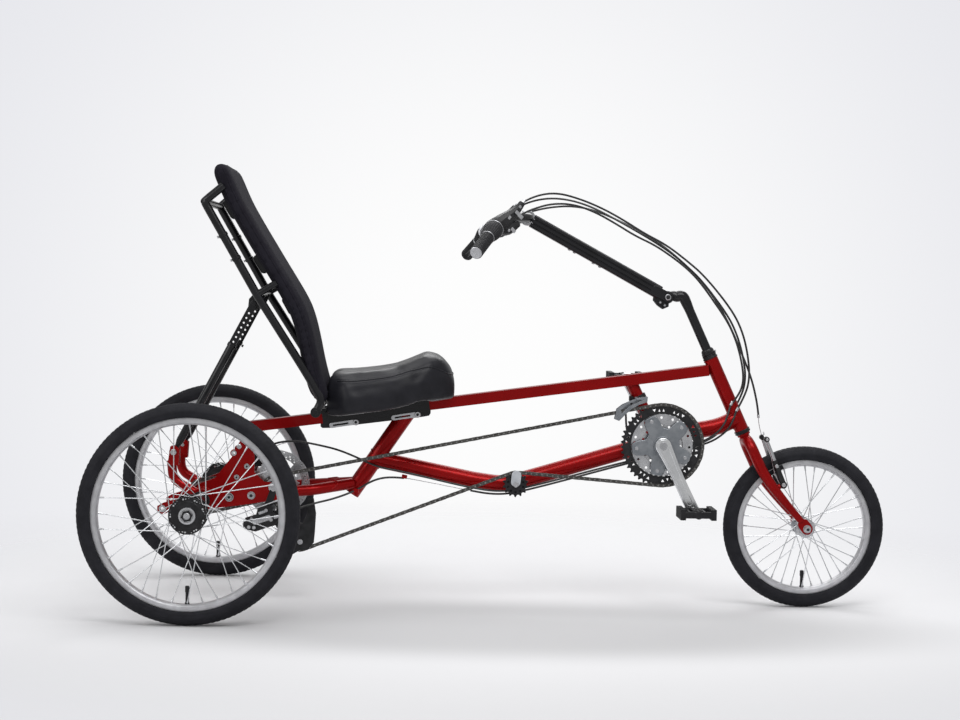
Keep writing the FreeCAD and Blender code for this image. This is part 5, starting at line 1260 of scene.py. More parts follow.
def makeFrontBrake():
    dark, silver, rubber = bmesh.new(), bmesh.new(), bmesh.new()
    up = (onHead(-158, 34) - frontAxle).normalized()
    across = Vector((up.z, 0, -up.x))
    turn = Matrix((across, sideAxis, up)).transposed()
    pad = frontAxle + up * 0.1555
    for side in (-1, 1):
        out = sideAxis * side
        foot, top = onHead(-158, 34, side * 36), onHead(-42, 42, side * 30)
        way = (top - foot).normalized()
        # the lower half is a wide black arm, the upper half a bright narrow one
        addTrail(dark, [foot - way * 0.006, foot + way * 0.03, foot + way * 0.062], [8.4, 7.4, 6.4], 18)
        addStud(dark, foot, out, -7, 7, 9, 24, 1.2)
        addTrail(silver, [foot + way * 0.05, foot + way * 0.08, top - way * 0.012, top], [6, 4.8, 4.2, 4], 14)
        addStud(silver, foot + way * 0.048, out, 6, 9.5, 4.6, 20, 0.6)
        addStud(silver, foot, out, 6.5, 11, 5.4, 6, 0.5)
        addStud(dark, top, out, -5, 9, 6.6, 20, 1.2)
        addStud(silver, top, out, 8.5, 11.5, 4, 6, 0.4)
        spring = [foot - headAhead * 0.006 + out * 0.004, foot + way * 0.03 - headAhead * 0.01 + out * 0.002,
                  foot + way * 0.07 - headAhead * 0.005]
        addTrail(silver, smoothRun(spring, 5), 0.9, 8)
        for index in range(9):
            addBlock(rubber, pad + across * (index - 4) * 0.0049 + out * 0.0205,
                     (4.5, 9.4, 9.2 if index % 2 else 10), turn, 0.9)
        addStud(silver, pad, out, 24, 34, 3.4, 16, 0.5)
        addStud(dark, pad, out, 25, 27.6, 6.4, 20, 0.6)
        addRod(dark, pad + out * 0.033, foot + way * 0.022, 4.2, 16)
    # the guide pipe that carries the wire to the near arm
    addTrail(silver, smoothRun([onHead(-30, 48, 16), onHead(-38, 44, 0), onHead(-42, 42, -26)]), 1.6)
    finishPiece("frontBrakeArms", dark, "steering", "blackMetal", "front_brake_arms", 32)
    finishPiece("frontBrakeFittings", silver, "steering", "silverMetal")
    finishPiece("frontBrakePads", rubber, "steering", "tyreRubber", "front_brake_pads", 35)


makeFork()
makeHeadset()
makeStem()
makeFrontAxle()
makeFrontBrake()
print("steering made")


# riser, handlebar, grips, shifters and levers

riserRise = math.radians(28.3)
riserWay = Vector((-math.cos(riserRise), 0, math.sin(riserRise)))
riserUp = Vector((math.sin(riserRise), 0, math.cos(riserRise)))
barPlace = spot(761.1, 927)
earTurn = Matrix((riserWay, -riserUp, sideAxis)).transposed().to_4x4()


def onRiser(distance, upward=0.0, left=0.0):
    return stemPivot + (riserWay * distance + riserUp * upward + sideAxis * left) / 1000


def makeRiser():
    bm, silver = bmesh.new(), bmesh.new()
    # half of the beam's section from its lower to its upper middle, with two grooves in its side
    side = [(0, -16), (13.5, -16), (16.4, -13.4), (16.4, -7), (14.9, -6), (14.9, -4.6), (16.4, -3.6),
            (16.4, 3.2), (14.9, 4.2), (14.9, 5.6), (16.4, 6.6), (16.4, 12), (14.6, 15.4), (12.4, 16), (0, 16)]
    section = side + [(-aside, up) for aside, up in reversed(side[1:-1])]
    addRings(bm, [[onRiser(distance, up * size, aside * size) for aside, up in section]
                  for distance, size in ((22, 0.94), (23, 1), (373, 1), (374, 0.94))], capEnds=True)
    for left in (-14.5, 14.5):
        addFlat(bm, [slot2d((-2, 0), (34, 0), 10.8, 10), roundHole(0, 0, 5.2)],
                Matrix.Translation(stemPivot + sideAxis * left / 1000) @ earTurn, 4.4, 0.8)
    clamp = [(11.4, -15), (17, -15), (18, -14), (18, 14), (17, 15), (11.4, 15)]
    addLathe(silver, clamp, barPlace)
    addBlock(silver, onRiser(401), (9, 29, 13), Matrix((riserWay, sideAxis, -riserUp)).transposed(), 2.4)
    for left in (-9, 9):
        addStud(silver, onRiser(401, 0, left), riserUp, 7, 10.5, 4.4, 20, 0.7)
        addStud(silver, onRiser(401, 0, left), riserUp, -10.5, -7, 4.4, 6, 0.5)
    for distance in (262, 248, 196, 178):
        for left in (-8, 8):
            addRod(silver, onRiser(distance, -18.6, left), onRiser(distance, -15.6, left), 3.2, 12, 0.8)
    finishPiece("riserBeam", bm, "riser", "blackPaint", "riser")
    finishPiece("riserClamp", silver, "riser", "silverMetal")


gripPlans = [(side, spot(628.1, 840, side * 330), Vector((68, -side * 188, 85)).normalized())
             for side in (-1, 1)]


def addBarrel(bm, start, way, stations, count, ridge, inner=11.3):
    # a ribbed sleeve: stations are (along, radius), ridge its ribs' height
    across, up, along = sideFrame(way)

    def ring(reach, radius, depth=0.0):
        places = []
        for index, turn in enumerate(turnsRound(count * 4)):
            size = radius - (depth if index % 4 in (0, 1) else 0)
            places.append(start + (along * reach + (across * math.cos(turn) + up * math.sin(turn))
                                   * size) / 1000)
        return places

    rings = [ring(reach, radius, ridge) for reach, radius in stations]
    rings += [ring(stations[-1][0], inner), ring(stations[0][0], inner)]
    addRings(bm, rings, closed=True)


def makeGrips():
    rubber, silver, twist = bmesh.new(), bmesh.new(), bmesh.new()
    profile = [(11.3, -2), (14.2, -3), (15.5, -1.6)]
    for low in (3.5 * index for index in range(24)):
        profile += [(15.5, low + 1.9), (14.7, low + 2.3), (14.7, low + 3.1), (15.5, low + 3.5)]
    profile += [(15.5, 86.8), (15, 87.7), (11.3, 87.7)]
    stations = [(88.5, 15.2), (90, 16.2), (102, 17.8), (116, 20.6), (124, 21.8), (136, 22), (138.5, 21)]
    for side, tip, way in gripPlans:
        addLathe(rubber, profile, tip, way, 40)
        addLathe(silver, [(0.1, -3), (13.4, -3), (13.9, -3.4), (13.9, -4), (13, -4.6), (0.1, -4.9)], tip, way,
                 40)
        for low, high, size in ((86.2, 88.4, 16.2), (138.6, 140.8, 22.5)):
            addLathe(silver, [(11.3, low), (size - 0.5, low), (size, low + 0.5), (size, high - 0.5),
                              (size - 0.5, high), (11.3, high)], tip, way)
        addBarrel(twist, tip, way, stations, 26, 0.9)
    finishPiece("gripSleeves", rubber, "riser", "gripRubber", "grips", 40)
    finishPiece("gripRings", silver, "riser", "silverMetal")
    finishPiece("twistBarrels", twist, "riser", "gripRubber", "twist_shifters", 40)


def makeLevers():
    dark, silver, plastic = bmesh.new(), bmesh.new(), bmesh.new()
    for side, tip, way in gripPlans:
        root, base = tip + way * 0.152, tip + way * 0.1425
        middle, out = -side * sideAxis, side * sideAxis
        inward = (middle - way * way.dot(middle)).normalized()

        def onBar(ahead, aside, height):
            return base + Vector((ahead, -side * aside, height)) / 1000

        addLathe(dark, [(11.3, 141), (16.2, 141), (17, 141.8), (17, 162.2), (16.2, 163), (11.3, 163)], tip,
                 way, 40)
        blade = smoothRun([root + (inward * apart - way * back) / 1000 for apart, back in (
            (13, 0), (26, 2), (32, 16), (32.5, 52), (31.5, 86), (33, 100))], 5)
        addTrail(dark, blade, spread([6.4, 6.4, 6, 5.2, 4.8, 4.8, 5.4], len(blade)), 16)
        addStud(silver, root + inward * 0.022, way, -12, 9, 3, 16, 0.5)
        # the housing beside the shifter swells forward and up from the bar to where the cables leave
        marks = [(0, 0, 0), (14, 15, 12), (32, 34, 26), (52, 50, 44), (66, 58, 62)]
        housing = smoothRun([onBar(*mark) for mark in marks], 4)
        addTrail(plastic, housing, spread([18, 20.5, 19, 14.5, 10, 7.6], len(housing)), 10)
        lower = [onBar(*mark) for mark in ((8, 14, -2), (34, 30, 2), (56, 44, 14))]
        addTrail(plastic, smoothRun(lower, 4), spread([14, 15, 9], 9), 8)
        end, lead = housing[-1], (housing[-1] - housing[-3]).normalized()
        addStud(silver, end, lead, -3, 10, 4.8, 16, 0.5, 3.6)
        # bright plates and screws on its outer face
        across, up, along = sideFrame(lead)
        turned = Matrix((along, across, up)).transposed()
        for mark, size in (((30, 10, 20), (26, 3, 6)), ((58, 34, 34), (9, 3, 24)),
                           ((44, 16, -2), (8, 3, 14))):
            addBlock(silver, onBar(*mark), size, turned, 1.2)
        for mark in ((22, 11, 2), (34, 14, -3), (60, 34, 52)):
            addStud(silver, onBar(*mark), out, 0, 6, 3.2, 12, 0.6)
        addRod(silver, root + inward * 0.002 + way * 0.018, root + inward * 0.001 + way * 0.032, 4.4, 16, 0.6)
    finishPiece("leverBlades", dark, "riser", "blackMetal", "brake_levers", 35)
    finishPiece("leverScrews", silver, "riser", "silverMetal")
    finishPiece("shifterHousings", plastic, "riser", "blackPlastic")


makeRiser()
makeGrips()
makeLevers()
paintNode("handlebar", "blackPaint")
print("handlebar made")


# seat: pan fittings, levers, cushion, backrest frame and pad

topSlope = 0.1409        # how steeply the flat top tube rises
topLean = math.atan(topSlope)


def tubeHeight(ahead):
    # the middle line of the flat top tube
    return 411 + topSlope * (ahead - 74)


def onTop(ahead, above=0.0, left=0.0):
    # a place beside the flat top tube, counted square to it from its middle
    return spot(ahead - math.sin(topLean) * above, tubeHeight(ahead) + math.cos(topLean) * above, left)


def makePanFittings():
    dark, levers, nuts = bmesh.new(), bmesh.new(), bmesh.new()
    cheek = [(275, 442), (275, 420), (279, 416.4), (296, 417), (520, 447.6), (533, 450.4), (536.5, 456),
             (536.5, 478), (530, 481.5), (286, 447)]
    for side in (-1, 1):
        out = sideAxis * side
        for ahead in (290, 526):
            addLathe(dark, [(0.1, 17.4), (6.6, 17.4), (6.6, 19.6), (5, 20.8), (0.1, 20.8)], onTop(ahead, 10),
                     out, 24)
        addLathe(dark, [(0.1, 208.2), (6.6, 208.2), (6.6, 209.6), (5, 211), (0.1, 211)], spot(270, 466), out,
                 24)
        addFlat(dark, [cheek], sideMatrix(left=side * 17.9), 1.4, 0.5)
    finishPiece("panCheeks", dark, "frame", "blackPaint", limit=35)
    # two levers, each a bright loop with a slot along it, and the nut that it turns
    for ahead in (329, 476):
        middle, pivot = onTop(ahead, -19.5), onTop(ahead + 27, -19)
        loops = [slot2d((-30, 0), (27, 1.5), 5.6), slot2d((-26, 0), (8, 0.8), 2.5)]
        addFlat(levers, loops, sideMatrix(middle.x * 1000 + rearAhead, middle.z * 1000, -24.6, topLean), 4.4,
                1)
        addStud(levers, pivot, sideAxis, -18.5, -29, 7.6, 24, 1.4)
        addStud(nuts, pivot, sideAxis, -29, -29.8, 3.4, 16)
        addStud(levers, pivot, sideAxis, 18.5, 28, 7.2, 12, 1)
    finishPiece("panLevers", levers, "frame", "silverMetal", "quick_release_levers", 32)
    finishPiece("panLeverPins", nuts, "frame", "blackMetal")


def table(rows, place):
    # reads a value between the rows of (place, value)
    for (start, low), (end, high) in zip(rows, rows[1:]):
        if place <= end:
            share = max(0.0, (place - start) / (end - start))
            return low + (high - low) * share
    return rows[-1][1]


def inflate(bm, name, voxel, pressure, cap, smoothing, isHeld):
    # blows a closed shape up as cloth; isHeld says which points stay where they are
    mesh = bpy.data.meshes.new(name)
    bmesh.ops.recalc_face_normals(bm, faces=bm.faces)
    bm.to_mesh(mesh)
    bm.free()
    piece = addObject(name, mesh)

    def settle():
        graph = bpy.context.evaluated_depsgraph_get()
        return bpy.data.meshes.new_from_object(piece.evaluated_get(graph))

    remesh = piece.modifiers.new("remesh", "REMESH")
    remesh.mode = "VOXEL"
    remesh.voxel_size = voxel / 1000
    remeshed = settle()
    piece.modifiers.clear()
    piece.data = remeshed
    rest = [vert.co.copy() for vert in remeshed.vertices]
    held = piece.vertex_groups.new(name="held")
    held.add([index for index, place in enumerate(rest) if isHeld(place)], 1.0, "REPLACE")
    cloth = piece.modifiers.new("cloth", "CLOTH")
    settings = cloth.settings
    settings.quality = 6
    settings.mass = 0.3
    settings.tension_stiffness = settings.compression_stiffness = 12
    settings.shear_stiffness, settings.bending_stiffness = 6, 1.2
    settings.use_pressure = True
    settings.uniform_pressure_force = pressure
    settings.effector_weights.gravity = 0
    settings.vertex_group_mass = "held"
    cloth.collision_settings.use_collision = False
    cloth.point_cache.frame_start, cloth.point_cache.frame_end = 1, 20
    for frameNumber in range(1, 21):
        bpy.context.scene.frame_set(frameNumber)
    blown = settle()
    piece.modifiers.clear()
    bpy.context.scene.frame_set(1)
    for vert, start, end in zip(remeshed.vertices, rest, blown.vertices):
        move = end.co - start
        vert.co = start + (move if move.length < cap / 1000 else move.normalized() * cap / 1000)
    bpy.data.meshes.remove(blown)
    even = bmesh.new()
    even.from_mesh(remeshed)
    for _ in range(smoothing):
        bmesh.ops.smooth_vert(even, verts=even.verts, factor=0.5, use_axis_x=True, use_axis_y=True,
                              use_axis_z=True)
    even.to_mesh(remeshed)
    even.free()
    smooth = piece.modifiers.new("smooth", "SUBSURF")
    smooth.levels = smooth.render_levels = 1
    final = settle()
    piece.modifiers.clear()
    piece.data = final
    for face in final.polygons:
        face.use_smooth = True
    return piece


def pressSeam(piece, run, depth, width):
    # draws the surface in along a seam, as stitching does
    normals = [vert.normal.copy() for vert in piece.data.vertices]
    for vert, normal in zip(piece.data.vertices, normals):
        near = min((vert.co - place).length for place in run) * 1000
        if near < width * 2.4:
            vert.co = vert.co - normal * depth / 1000 * math.exp(-(near / width) ** 2)


def onSurface(piece, places):
    tree = BVHTree.FromPolygons([vert.co for vert in piece.data.vertices],
                                [tuple(face.vertices) for face in piece.data.polygons])
    return [tree.find_nearest(place)[0] for place in places]


cushionTop = [(293, 550), (305, 554), (345, 554), (363, 556), (400, 560), (450, 568), (485, 581), (512, 593),
              (539, 606), (556, 603), (570, 591), (584, 566), (592, 540)]
cushionWide = [(300, 146), (326, 166), (420, 166), (470, 158), (520, 133), (535, 126), (565, 104), (592, 78)]
cushionSeam = [(306, 548), (330, 561), (368, 567), (400, 572), (440, 580), (486, 590), (527, 580), (560, 567),
               (580, 557)]


def cushionBase(ahead):
    return tubeHeight(ahead) + 25.8


def within(value, low=0.0, high=1.0):
    return max(low, min(high, value))


def rounded(share, power):
    # a share of -1 to 1 drawn towards its ends, which turns a circle into a rounded box
    return math.copysign(abs(share) ** power, share)


def makeCushion():
    bm, piping = bmesh.new(), bmesh.new()
    rings = []
    shares = [0.86, 0.95] + [1] * 13 + [0.98, 0.94, 0.86]
    for index, share in enumerate(shares):
        ahead = 293 + (592 - 293) * (1 - math.cos(math.pi * index / (len(shares) - 1))) / 2
        low, high = cushionBase(ahead) + 0.6, table(cushionTop, ahead) - 4
        wide = (table(cushionWide, ahead) - 5) * (0.86 + 0.14 * share)
        middle = (low + high) / 2 - (high - low) * 0.06
        roll = max(0.0, 1 - abs(ahead - 390) / 120)
        ring = []
        for turn in turnsRound(56):
            sine = math.sin(turn)
            aside = rounded(math.cos(turn), 0.42) * wide
            reach = abs(aside)
            if sine < 0:
                height = middle - abs(sine) ** 0.22 * (middle - low) * (0.8 + 0.2 * share)
                # the skirt hangs over the edges of the pan
                edge, drop = 113 if ahead < 524 else 30, 22 - 6 * within((ahead - 440) / 80)
                height -= drop * within((reach - edge) / 12) * min(1.0, abs(sine) * 5)
            else:
                height = middle + sine ** 0.5 * (high - middle) * (0.6 + 0.4 * share)
                # the saddle: the sides stand up as two long rolls at the rear, and the middle dips
                height += (reach / wide) ** 2 * sine * 3 * roll - (1 - reach / wide) * sine * 5 * roll
            ring.append(spot(ahead, height, aside))
        rings.append(ring)
    addRings(bm, rings, capEnds=True)
    piece = inflate(bm, "seatCushion", 5, 4.0, 7, 9,
                    lambda place: place.z * 1000 < cushionBase(place.x * 1000 + rearAhead) + 3)
    seams = []
    for side in (-1, 1):
        guide = [spot(ahead, height, side * (table(cushionWide, ahead) + 4)) for ahead, height in cushionSeam]
        seams.append(smoothRun(onSurface(piece, guide), 8))
    front = [seams[0][-1], *onSurface(piece, [spot(594, 554, left) for left in (-60, -20, 20, 60)]),
             seams[1][-1]]
    loop = seams[0] + smoothRun(front)[1:-1] + seams[1][::-1]
    pressSeam(piece, loop[::2], 1.2, 4.0)
    addTrail(piping, onSurface(piece, loop), 1.7, 10)
    finishSoft(piece, "frame", "seatVinyl", "seat_cushion")
    finishPiece("cushionPiping", piping, "frame", "seatVinyl", limit=60)


def finishSoft(piece, body, finish, node):
    piece.data.materials.clear()
    piece.data.materials.append(finishes[finish])
    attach(piece, body)
    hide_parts(node)


padSpine = [(35, 1035), (51, 1000), (81, 936), (147, 827), (211, 724), (232, 677), (246, 624), (260, 560),
            (274, 512), (287, 485)]


def makePad():
    bm, piping = bmesh.new(), bmesh.new()
    spine = smoothRun([spot(ahead, height) for ahead, height in padSpine], 5)
    count = len(spine)

    def faceWay(before, after):
        along = (after - before).normalized()
        return Vector((-along.z, 0, along.x))

    def arch(reach, length):
        # rises from 0 to 1 over a quarter circle
        return math.sqrt(max(0.0, 1 - (1 - min(1.0, reach / length)) ** 2))

    rings = []
    for index, place in enumerate(spine):
        face = faceWay(spine[max(index - 1, 0)], spine[min(index + 1, count - 1)])
        reach = min((place - spine[0]).length, (place - spine[-1]).length) * 1000
        wide = 208 - 26 * (1 - arch(reach, 26))
        thick = 17 * (0.3 + 0.7 * arch(reach, 14 if index < count / 2 else 34))
        rings.append([place + (sideAxis * rounded(math.cos(turn), 0.2) * wide + face
                               * rounded(math.sin(turn), 0.4) * thick) / 1000 for turn in turnsRound(48)])
    addRings(bm, rings, capEnds=True)
    piece = inflate(bm, "backrestPad", 6, 4.0, 3.5, 2, lambda place: False)
    loops = []
    for offset in (-12, 12):
        runs = [[spine[index] + sideAxis * side * 0.214
                 + faceWay(spine[index - 1], spine[index + 1]) * offset / 1000
                 for index in range(2, count - 2, 3)] for side in (-1, 1)]
        loops.append(smoothRun(onSurface(piece, runs[0] + runs[1][::-1] + runs[0][:1])))
    for loop in loops:
        pressSeam(piece, loop[::3], 1.8, 3.6)
        addTrail(piping, onSurface(piece, loop), 1.5, 8)
    finishSoft(piece, "backrest", "backFabric", "backrest_pad")
    finishPiece("padPiping", piping, "backrest", "backFabric", limit=60)


def makeBackFrame():
    bm, silver = bmesh.new(), bmesh.new()
    hinge = (270, 466.02)
    tab = [(104, 698), (116, 695), (128, 700), (142, 730), (124, 742), (106, 722)]
    for side in (-1, 1):
        aside, out = side * 200, sideAxis * side
        corner, joint = spot(8, 945, aside), spot(131, 734, aside)
        knee, low = spot(20, 955, aside), spot(239, 568, aside)
        run = [spot(52, 982, aside), knee, corner.lerp(knee, 0.3), corner.lerp(joint, 0.025),
               corner.lerp(joint, 0.06), joint, *smoothRun([joint.lerp(low, 0.5), low, spot(271, 515, aside),
                                                            spot(281, 492, aside), spot(*hinge, aside)], 5)]
        addTrail(bm, run, 9.5, 24)
        addTrail(bm, [joint, spot(176, 762, aside)], 8, 20)
        # sleeves where the upper tube is joined, and the lugs that hold the pad
        for share in (0.36, 0.61):
            place = corner.lerp(joint, share)
            addStud(bm, place, (joint - corner).normalized(), -4, 4, 11, 24, 1)
            addRod(silver, place - Vector((0.0135, 0, 0.006)), place - Vector((0.0105, 0, 0.0045)), 3, 12,
                   0.5)
        addAcross(bm, *hinge, side * 191, side * 209, 12, 36, 1.4)
        addFlat(bm, [tab, roundHole(118, 712, 4.2)], sideMatrix(left=side * 92.75), 5.5, 0.8)
        addTrail(bm, circle(joint - out * 0.0095, Vector((1, 0, 0)), upAxis, 8.5, 24), 1.6, 8, closed=True)
    for ahead, height in ((8, 945), (131, 734)):
        addAcross(bm, ahead, height, -200, 200, 8.5)
    for low, high in (((55.9, 942.7), (72.5, 915.6)), ((127.1, 816.3), (143.5, 791.5)),
                      ((195, 721.9), (209.1, 697.2))):
        for left in (-150, 150):
            addFlat(bm, [slot2d(low, high, 6)], sideMatrix(left=left), 26, 3)
    finishPiece("backTubes", bm, "backrest", "blackPaint", "back_frame", 40)
    finishPiece("backBolts", silver, "backrest", "silverMetal")


strutFoot, strutTop = spot(-64, 361), spot(118, 712)
strutWay = (strutTop - strutFoot).normalized()


def onStrut(distance, side):
    return strutFoot + strutWay * distance / 1000 + sideAxis * side * 0.099


def makeStruts():
    tubes, bars, silver, bolts = bmesh.new(), bmesh.new(), bmesh.new(), bmesh.new()
    wide = Vector((-strutWay.z, 0, strutWay.x))
    frameTurn = Matrix((strutWay, wide, -sideAxis)).transposed().to_4x4()
    length = (strutTop - strutFoot).length * 1000
    sleeve = [(4.8, 10), (6, 18), (8.6, 27), (9.2, 32), (9.2, 286), (8.9, 288), (8.4, 288), (8.4, 60),
              (4.8, 60)]
    eye = [(4.5, -5.6), (10, -5.6), (11, -4.8), (11, 4.8), (10, 5.6), (4.5, 5.6)]
    barFoot, holePitch = 200, 12.7
    count = math.ceil((length - 26 - 240) / holePitch)
    holes = [roundHole(length - 26 - barFoot - holePitch * index, 0, 3, 14) for index in range(count)]
    outline = slot2d((8, 0), (length - barFoot, 0), 8.2, 10)
    for side in (-1, 1):
        out = sideAxis * side
        foot, top = onStrut(0, side), strutTop + out * 0.099
        addLathe(tubes, sleeve, foot, strutWay, 36)
        addLathe(tubes, eye, foot, segments=32)
        addRod(tubes, onStrut(280, side), onStrut(288.4, side), 10.5, 32, 0.4)
        addFlat(bars, [outline, roundHole(length - barFoot, 0, 4.1, 16), *holes],
                Matrix.Translation(onStrut(barFoot, side)) @ frameTurn, 5, 0.7)
        addStud(bars, top, out, -3.1, 7.9, 4, 16)
        addStud(silver, top, out, 2.6, 7.8, 6.2, 6, 0.6)
        addStud(silver, onStrut(281, side), wide, -11.2, -15.2, 3.2, 12, 0.5)
        addStud(bolts, foot, out, -13.8, 13.8, 4, 16, 0.5)
        addStud(bolts, foot, out, 12.4, 17, 7.8, 6, 0.7)
    finishPiece("strutSleeves", tubes, "strut_lower", "blackPaint", "strut_tubes", 32)
    finishPiece("strutBars", bars, "strut_upper", "blackPaint", "strut_bars", 32)
    finishPiece("strutTopBolts", silver, "strut_upper", "blackMetal")
    finishPiece("strutPivotBolts", bolts, "frame", "silverMetal", "strut_bolts")


makePanFittings()
paintNode("seat_pan", "blackPaint")
makeBackFrame()
makeStruts()
makeCushion()
makePad()
print("seat made")


# cables: each follows a smooth line through its route

cableHalf, wireHalf = 2.5, 0.9        # half the thickness of a cable, and of a bare wire


def cableLine(name, route):
    # the smooth line through a route's control points, each (ahead of the axle, up, left) in metres
    curve = bpy.data.curves.new(name, "CURVE")
    curve.dimensions = "3D"
    curve.resolution_u = 8
    spline = curve.splines.new("NURBS")
    spline.points.add(len(route) - 1)
    for place, (ahead, height, left) in zip(spline.points, route):
        place.co = (ahead - rearAhead / 1000, left, height, 1)
    spline.order_u = 3
    spline.use_endpoint_u = True
    return [vert.co.copy() for vert in curveMesh(curve).vertices]


controlRoutes = {
    "rearShift": (
        [(0.6813, 0.9097, -0.2183), (0.6919, 0.923, -0.1889), (0.724, 0.95, -0.146), (0.77, 0.977, -0.106),
         (0.822, 0.987, -0.076), (0.88, 0.974, -0.056), (0.938, 0.952, -0.042), (0.99, 0.925, -0.034),
         (1.04, 0.895, -0.028), (1.09, 0.871, -0.024), (1.138, 0.837, -0.022), (1.19, 0.795, -0.019),
         (1.226, 0.752, -0.017)],
        [(1.226, 0.752, -0.017), (1.258, 0.714, -0.015), (1.284, 0.662, -0.015), (1.298, 0.606, -0.015),
         (1.303, 0.552, -0.016), (1.292, 0.51, -0.018), (1.272, 0.4743, -0.0196)],
    ),
    "frontShift": (
        [(0.6813, 0.9097, 0.2183), (0.6919, 0.923, 0.1889), (0.722, 0.944, 0.146), (0.764, 0.968, 0.108),
         (0.812, 0.979, 0.072), (0.862, 0.975, 0.038), (0.914, 0.958, 0.008), (0.966, 0.931, -0.01),
         (1.016, 0.904, -0.016), (1.064, 0.877, -0.016), (1.11, 0.848, -0.013), (1.152, 0.814, -0.01),
         (1.188, 0.78, -0.007), (1.218, 0.742, -0.005)],
        [(1.218, 0.742, -0.005), (1.249, 0.703, -0.004), (1.274, 0.652, -0.003), (1.289, 0.6, -0.002),
         (1.297, 0.552, 0.004), (1.29, 0.51, 0.013), (1.272, 0.4743, 0.0196)],
    ),
    "rearBrake": (
        [(0.6925, 0.9007, -0.192), (0.7006, 0.9109, -0.1695), (0.728, 0.927, -0.136), (0.768, 0.947, -0.108),
         (0.816, 0.961, -0.084), (0.868, 0.96, -0.06), (0.92, 0.943, -0.044), (0.97, 0.917, -0.033),
         (1.018, 0.889, -0.027), (1.064, 0.869, -0.024), (1.108, 0.841, -0.022), (1.148, 0.811, -0.022),
         (1.182, 0.776, -0.022), (1.212, 0.734, -0.024)],
        [(1.212, 0.734, -0.024), (1.242, 0.694, -0.026), (1.266, 0.644, -0.027), (1.281, 0.592, -0.027),
         (1.287, 0.548, -0.026), (1.278, 0.514, -0.023), (1.258, 0.4884, -0.0198)],
    ),
}
brakeRoute = [(0.6925, 0.9007, 0.192), (0.7006, 0.9109, 0.1695), (0.728, 0.927, 0.14), (0.772, 0.946, 0.114),
              (0.824, 0.958, 0.093), (0.878, 0.961, 0.072), (0.932, 0.949, 0.05), (0.984, 0.926, 0.03),
              (1.036, 0.901, 0.016), (1.086, 0.87, 0.008), (1.134, 0.832, 0.008), (1.18, 0.79, 0.01),
              (1.222, 0.738, 0.013), (1.256, 0.68, 0.014), (1.284, 0.618, 0.014), (1.31, 0.558, 0.013),
              (1.324, 0.508, 0.014), (1.332, 0.468, 0.019), (1.335, 0.436, 0.027), (1.3447, 0.4084, 0.03)]
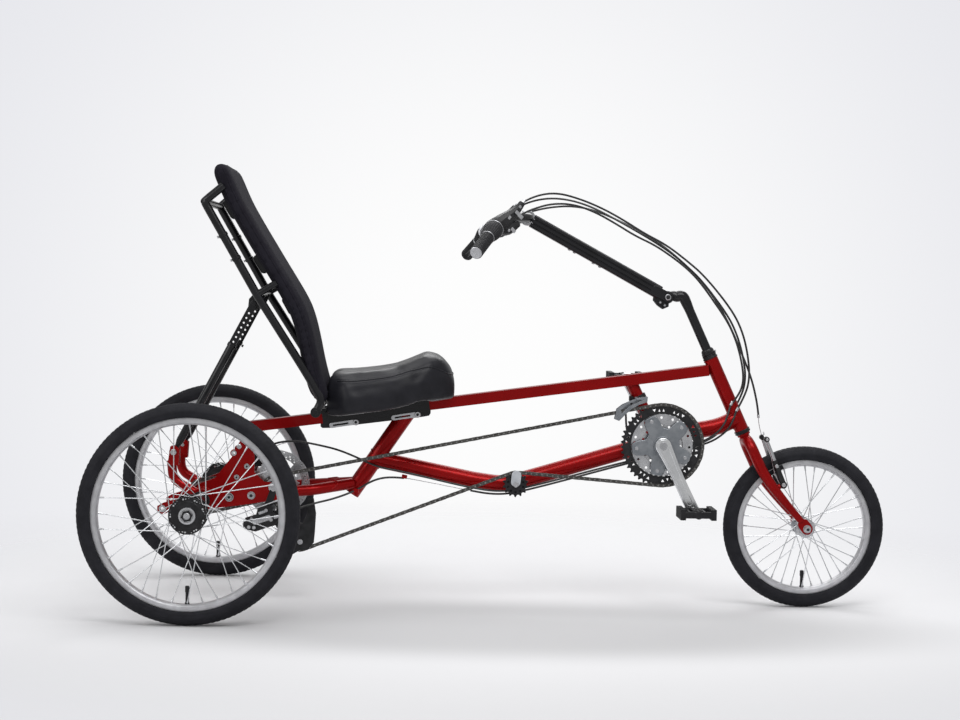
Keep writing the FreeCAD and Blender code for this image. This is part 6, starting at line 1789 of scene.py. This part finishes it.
frameRoutes = {"rearShiftLine": [(1.2712, 0.4732, -0.0198), (1.264, 0.45, -0.025), (1.248, 0.424, -0.028),
                                 (1.21, 0.396, -0.022), (1.156, 0.382, -0.01), (1.096, 0.361, -0.007),
                                 (1.04, 0.35, -0.006), (0.77, 0.272, -0.006), (0.7, 0.26, -0.006),
                                 (0.62, 0.273, -0.006), (0.54, 0.288, -0.008), (0.47, 0.301, -0.016),
                                 (0.412, 0.3, -0.027), (0.36, 0.268, -0.034), (0.31, 0.25, -0.048),
                                 (0.262, 0.24, -0.064), (0.216, 0.226, -0.08), (0.18, 0.212, -0.088)],
               "rearBrakeLine": [(1.2573, 0.4871, -0.0201), (1.25, 0.462, -0.029), (1.236, 0.432, -0.036),
                                 (1.202, 0.404, -0.032), (1.152, 0.386, -0.024), (1.096, 0.364, -0.021),
                                 (1.04, 0.357, -0.02), (0.77, 0.28, -0.02), (0.7, 0.269, -0.02),
                                 (0.62, 0.282, -0.02), (0.54, 0.3, -0.022), (0.47, 0.316, -0.026),
                                 (0.412, 0.326, -0.03), (0.368, 0.346, -0.031), (0.318, 0.366, -0.03),
                                 (0.268, 0.376, -0.02), (0.222, 0.382, 0.004), (0.18, 0.378, 0.034),
                                 (0.148, 0.366, 0.0495), (0.1298, 0.3516, 0.051)],
               "frontShiftLine": [(1.2712, 0.4732, 0.0198), (1.264, 0.45, 0.025), (1.248, 0.424, 0.028),
                                  (1.21, 0.397, 0.021), (1.166, 0.385, 0.01), (1.122, 0.37, 0.006),
                                  (1.078, 0.356, 0.01), (1.04, 0.362, 0.026), (1.02, 0.394, 0.036),
                                  (1.012, 0.432, 0.032), (1.01, 0.462, 0.02), (1.004, 0.478, 0.004)]}


def makeControlCables():
    for part, bodies, start, end in (("Upper", ("riser", "steering"), spot(720, 940), spot(1215, 760)),
                                     ("Lower", ("steering", "frame"), spot(1226, 740), spot(1272, 482))):
        bm = bmesh.new()
        for name, (upper, lower) in controlRoutes.items():
            addTrail(bm, cableLine(name + part, upper if part == "Upper" else lower), cableHalf, 10)
        piece = finishPiece("controlCables" + part, bm, None, "cableBlack", "control_cables_" + part.lower(),
                            60)
        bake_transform(piece)


def makeBrakeCable():
    line = cableLine("brakeLine", brakeRoute)
    cover = [place for place in line if place.z > 0.456]
    bm, silver = bmesh.new(), bmesh.new()
    addTrail(bm, cover, cableHalf, 10)
    piece = finishPiece("frontBrakeCable", bm, None, "cableBlack", "front_brake_cable", 60)
    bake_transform(piece)
    addTrail(silver, [place for place in line if place.z < 0.462], wireHalf, 8)
    addStud(silver, cover[-1], (cover[-1] - cover[-2]).normalized(), -5, 3, 3.1, 16, 0.5)
    finishPiece("frontBrakeWire", silver, "steering", "silverMetal", limit=40)


def makeFrameCables():
    bm, wires = bmesh.new(), bmesh.new()
    # the rear shift line is a bare wire between its two stops
    low, high = (477 - rearAhead) / 1000, (635 - rearAhead) / 1000
    for name, route in frameRoutes.items():
        line = cableLine(name, route)
        if name != "rearShiftLine":
            addTrail(bm, line, cableHalf, 10)
            continue
        addTrail(bm, [place for place in line if place.x > high], cableHalf, 10)
        addTrail(bm, [place for place in line if place.x < low], cableHalf, 10)
        addTrail(wires, [place for place in line if low - 0.006 < place.x < high + 0.006], wireHalf, 8)
    finishPiece("frameCables", bm, "frame", "cableBlack", "frame_cables", 60)
    finishPiece("frameWires", wires, "frame", "silverMetal", limit=60)


makeControlCables()
makeBrakeCable()
makeFrameCables()
print("cables made")
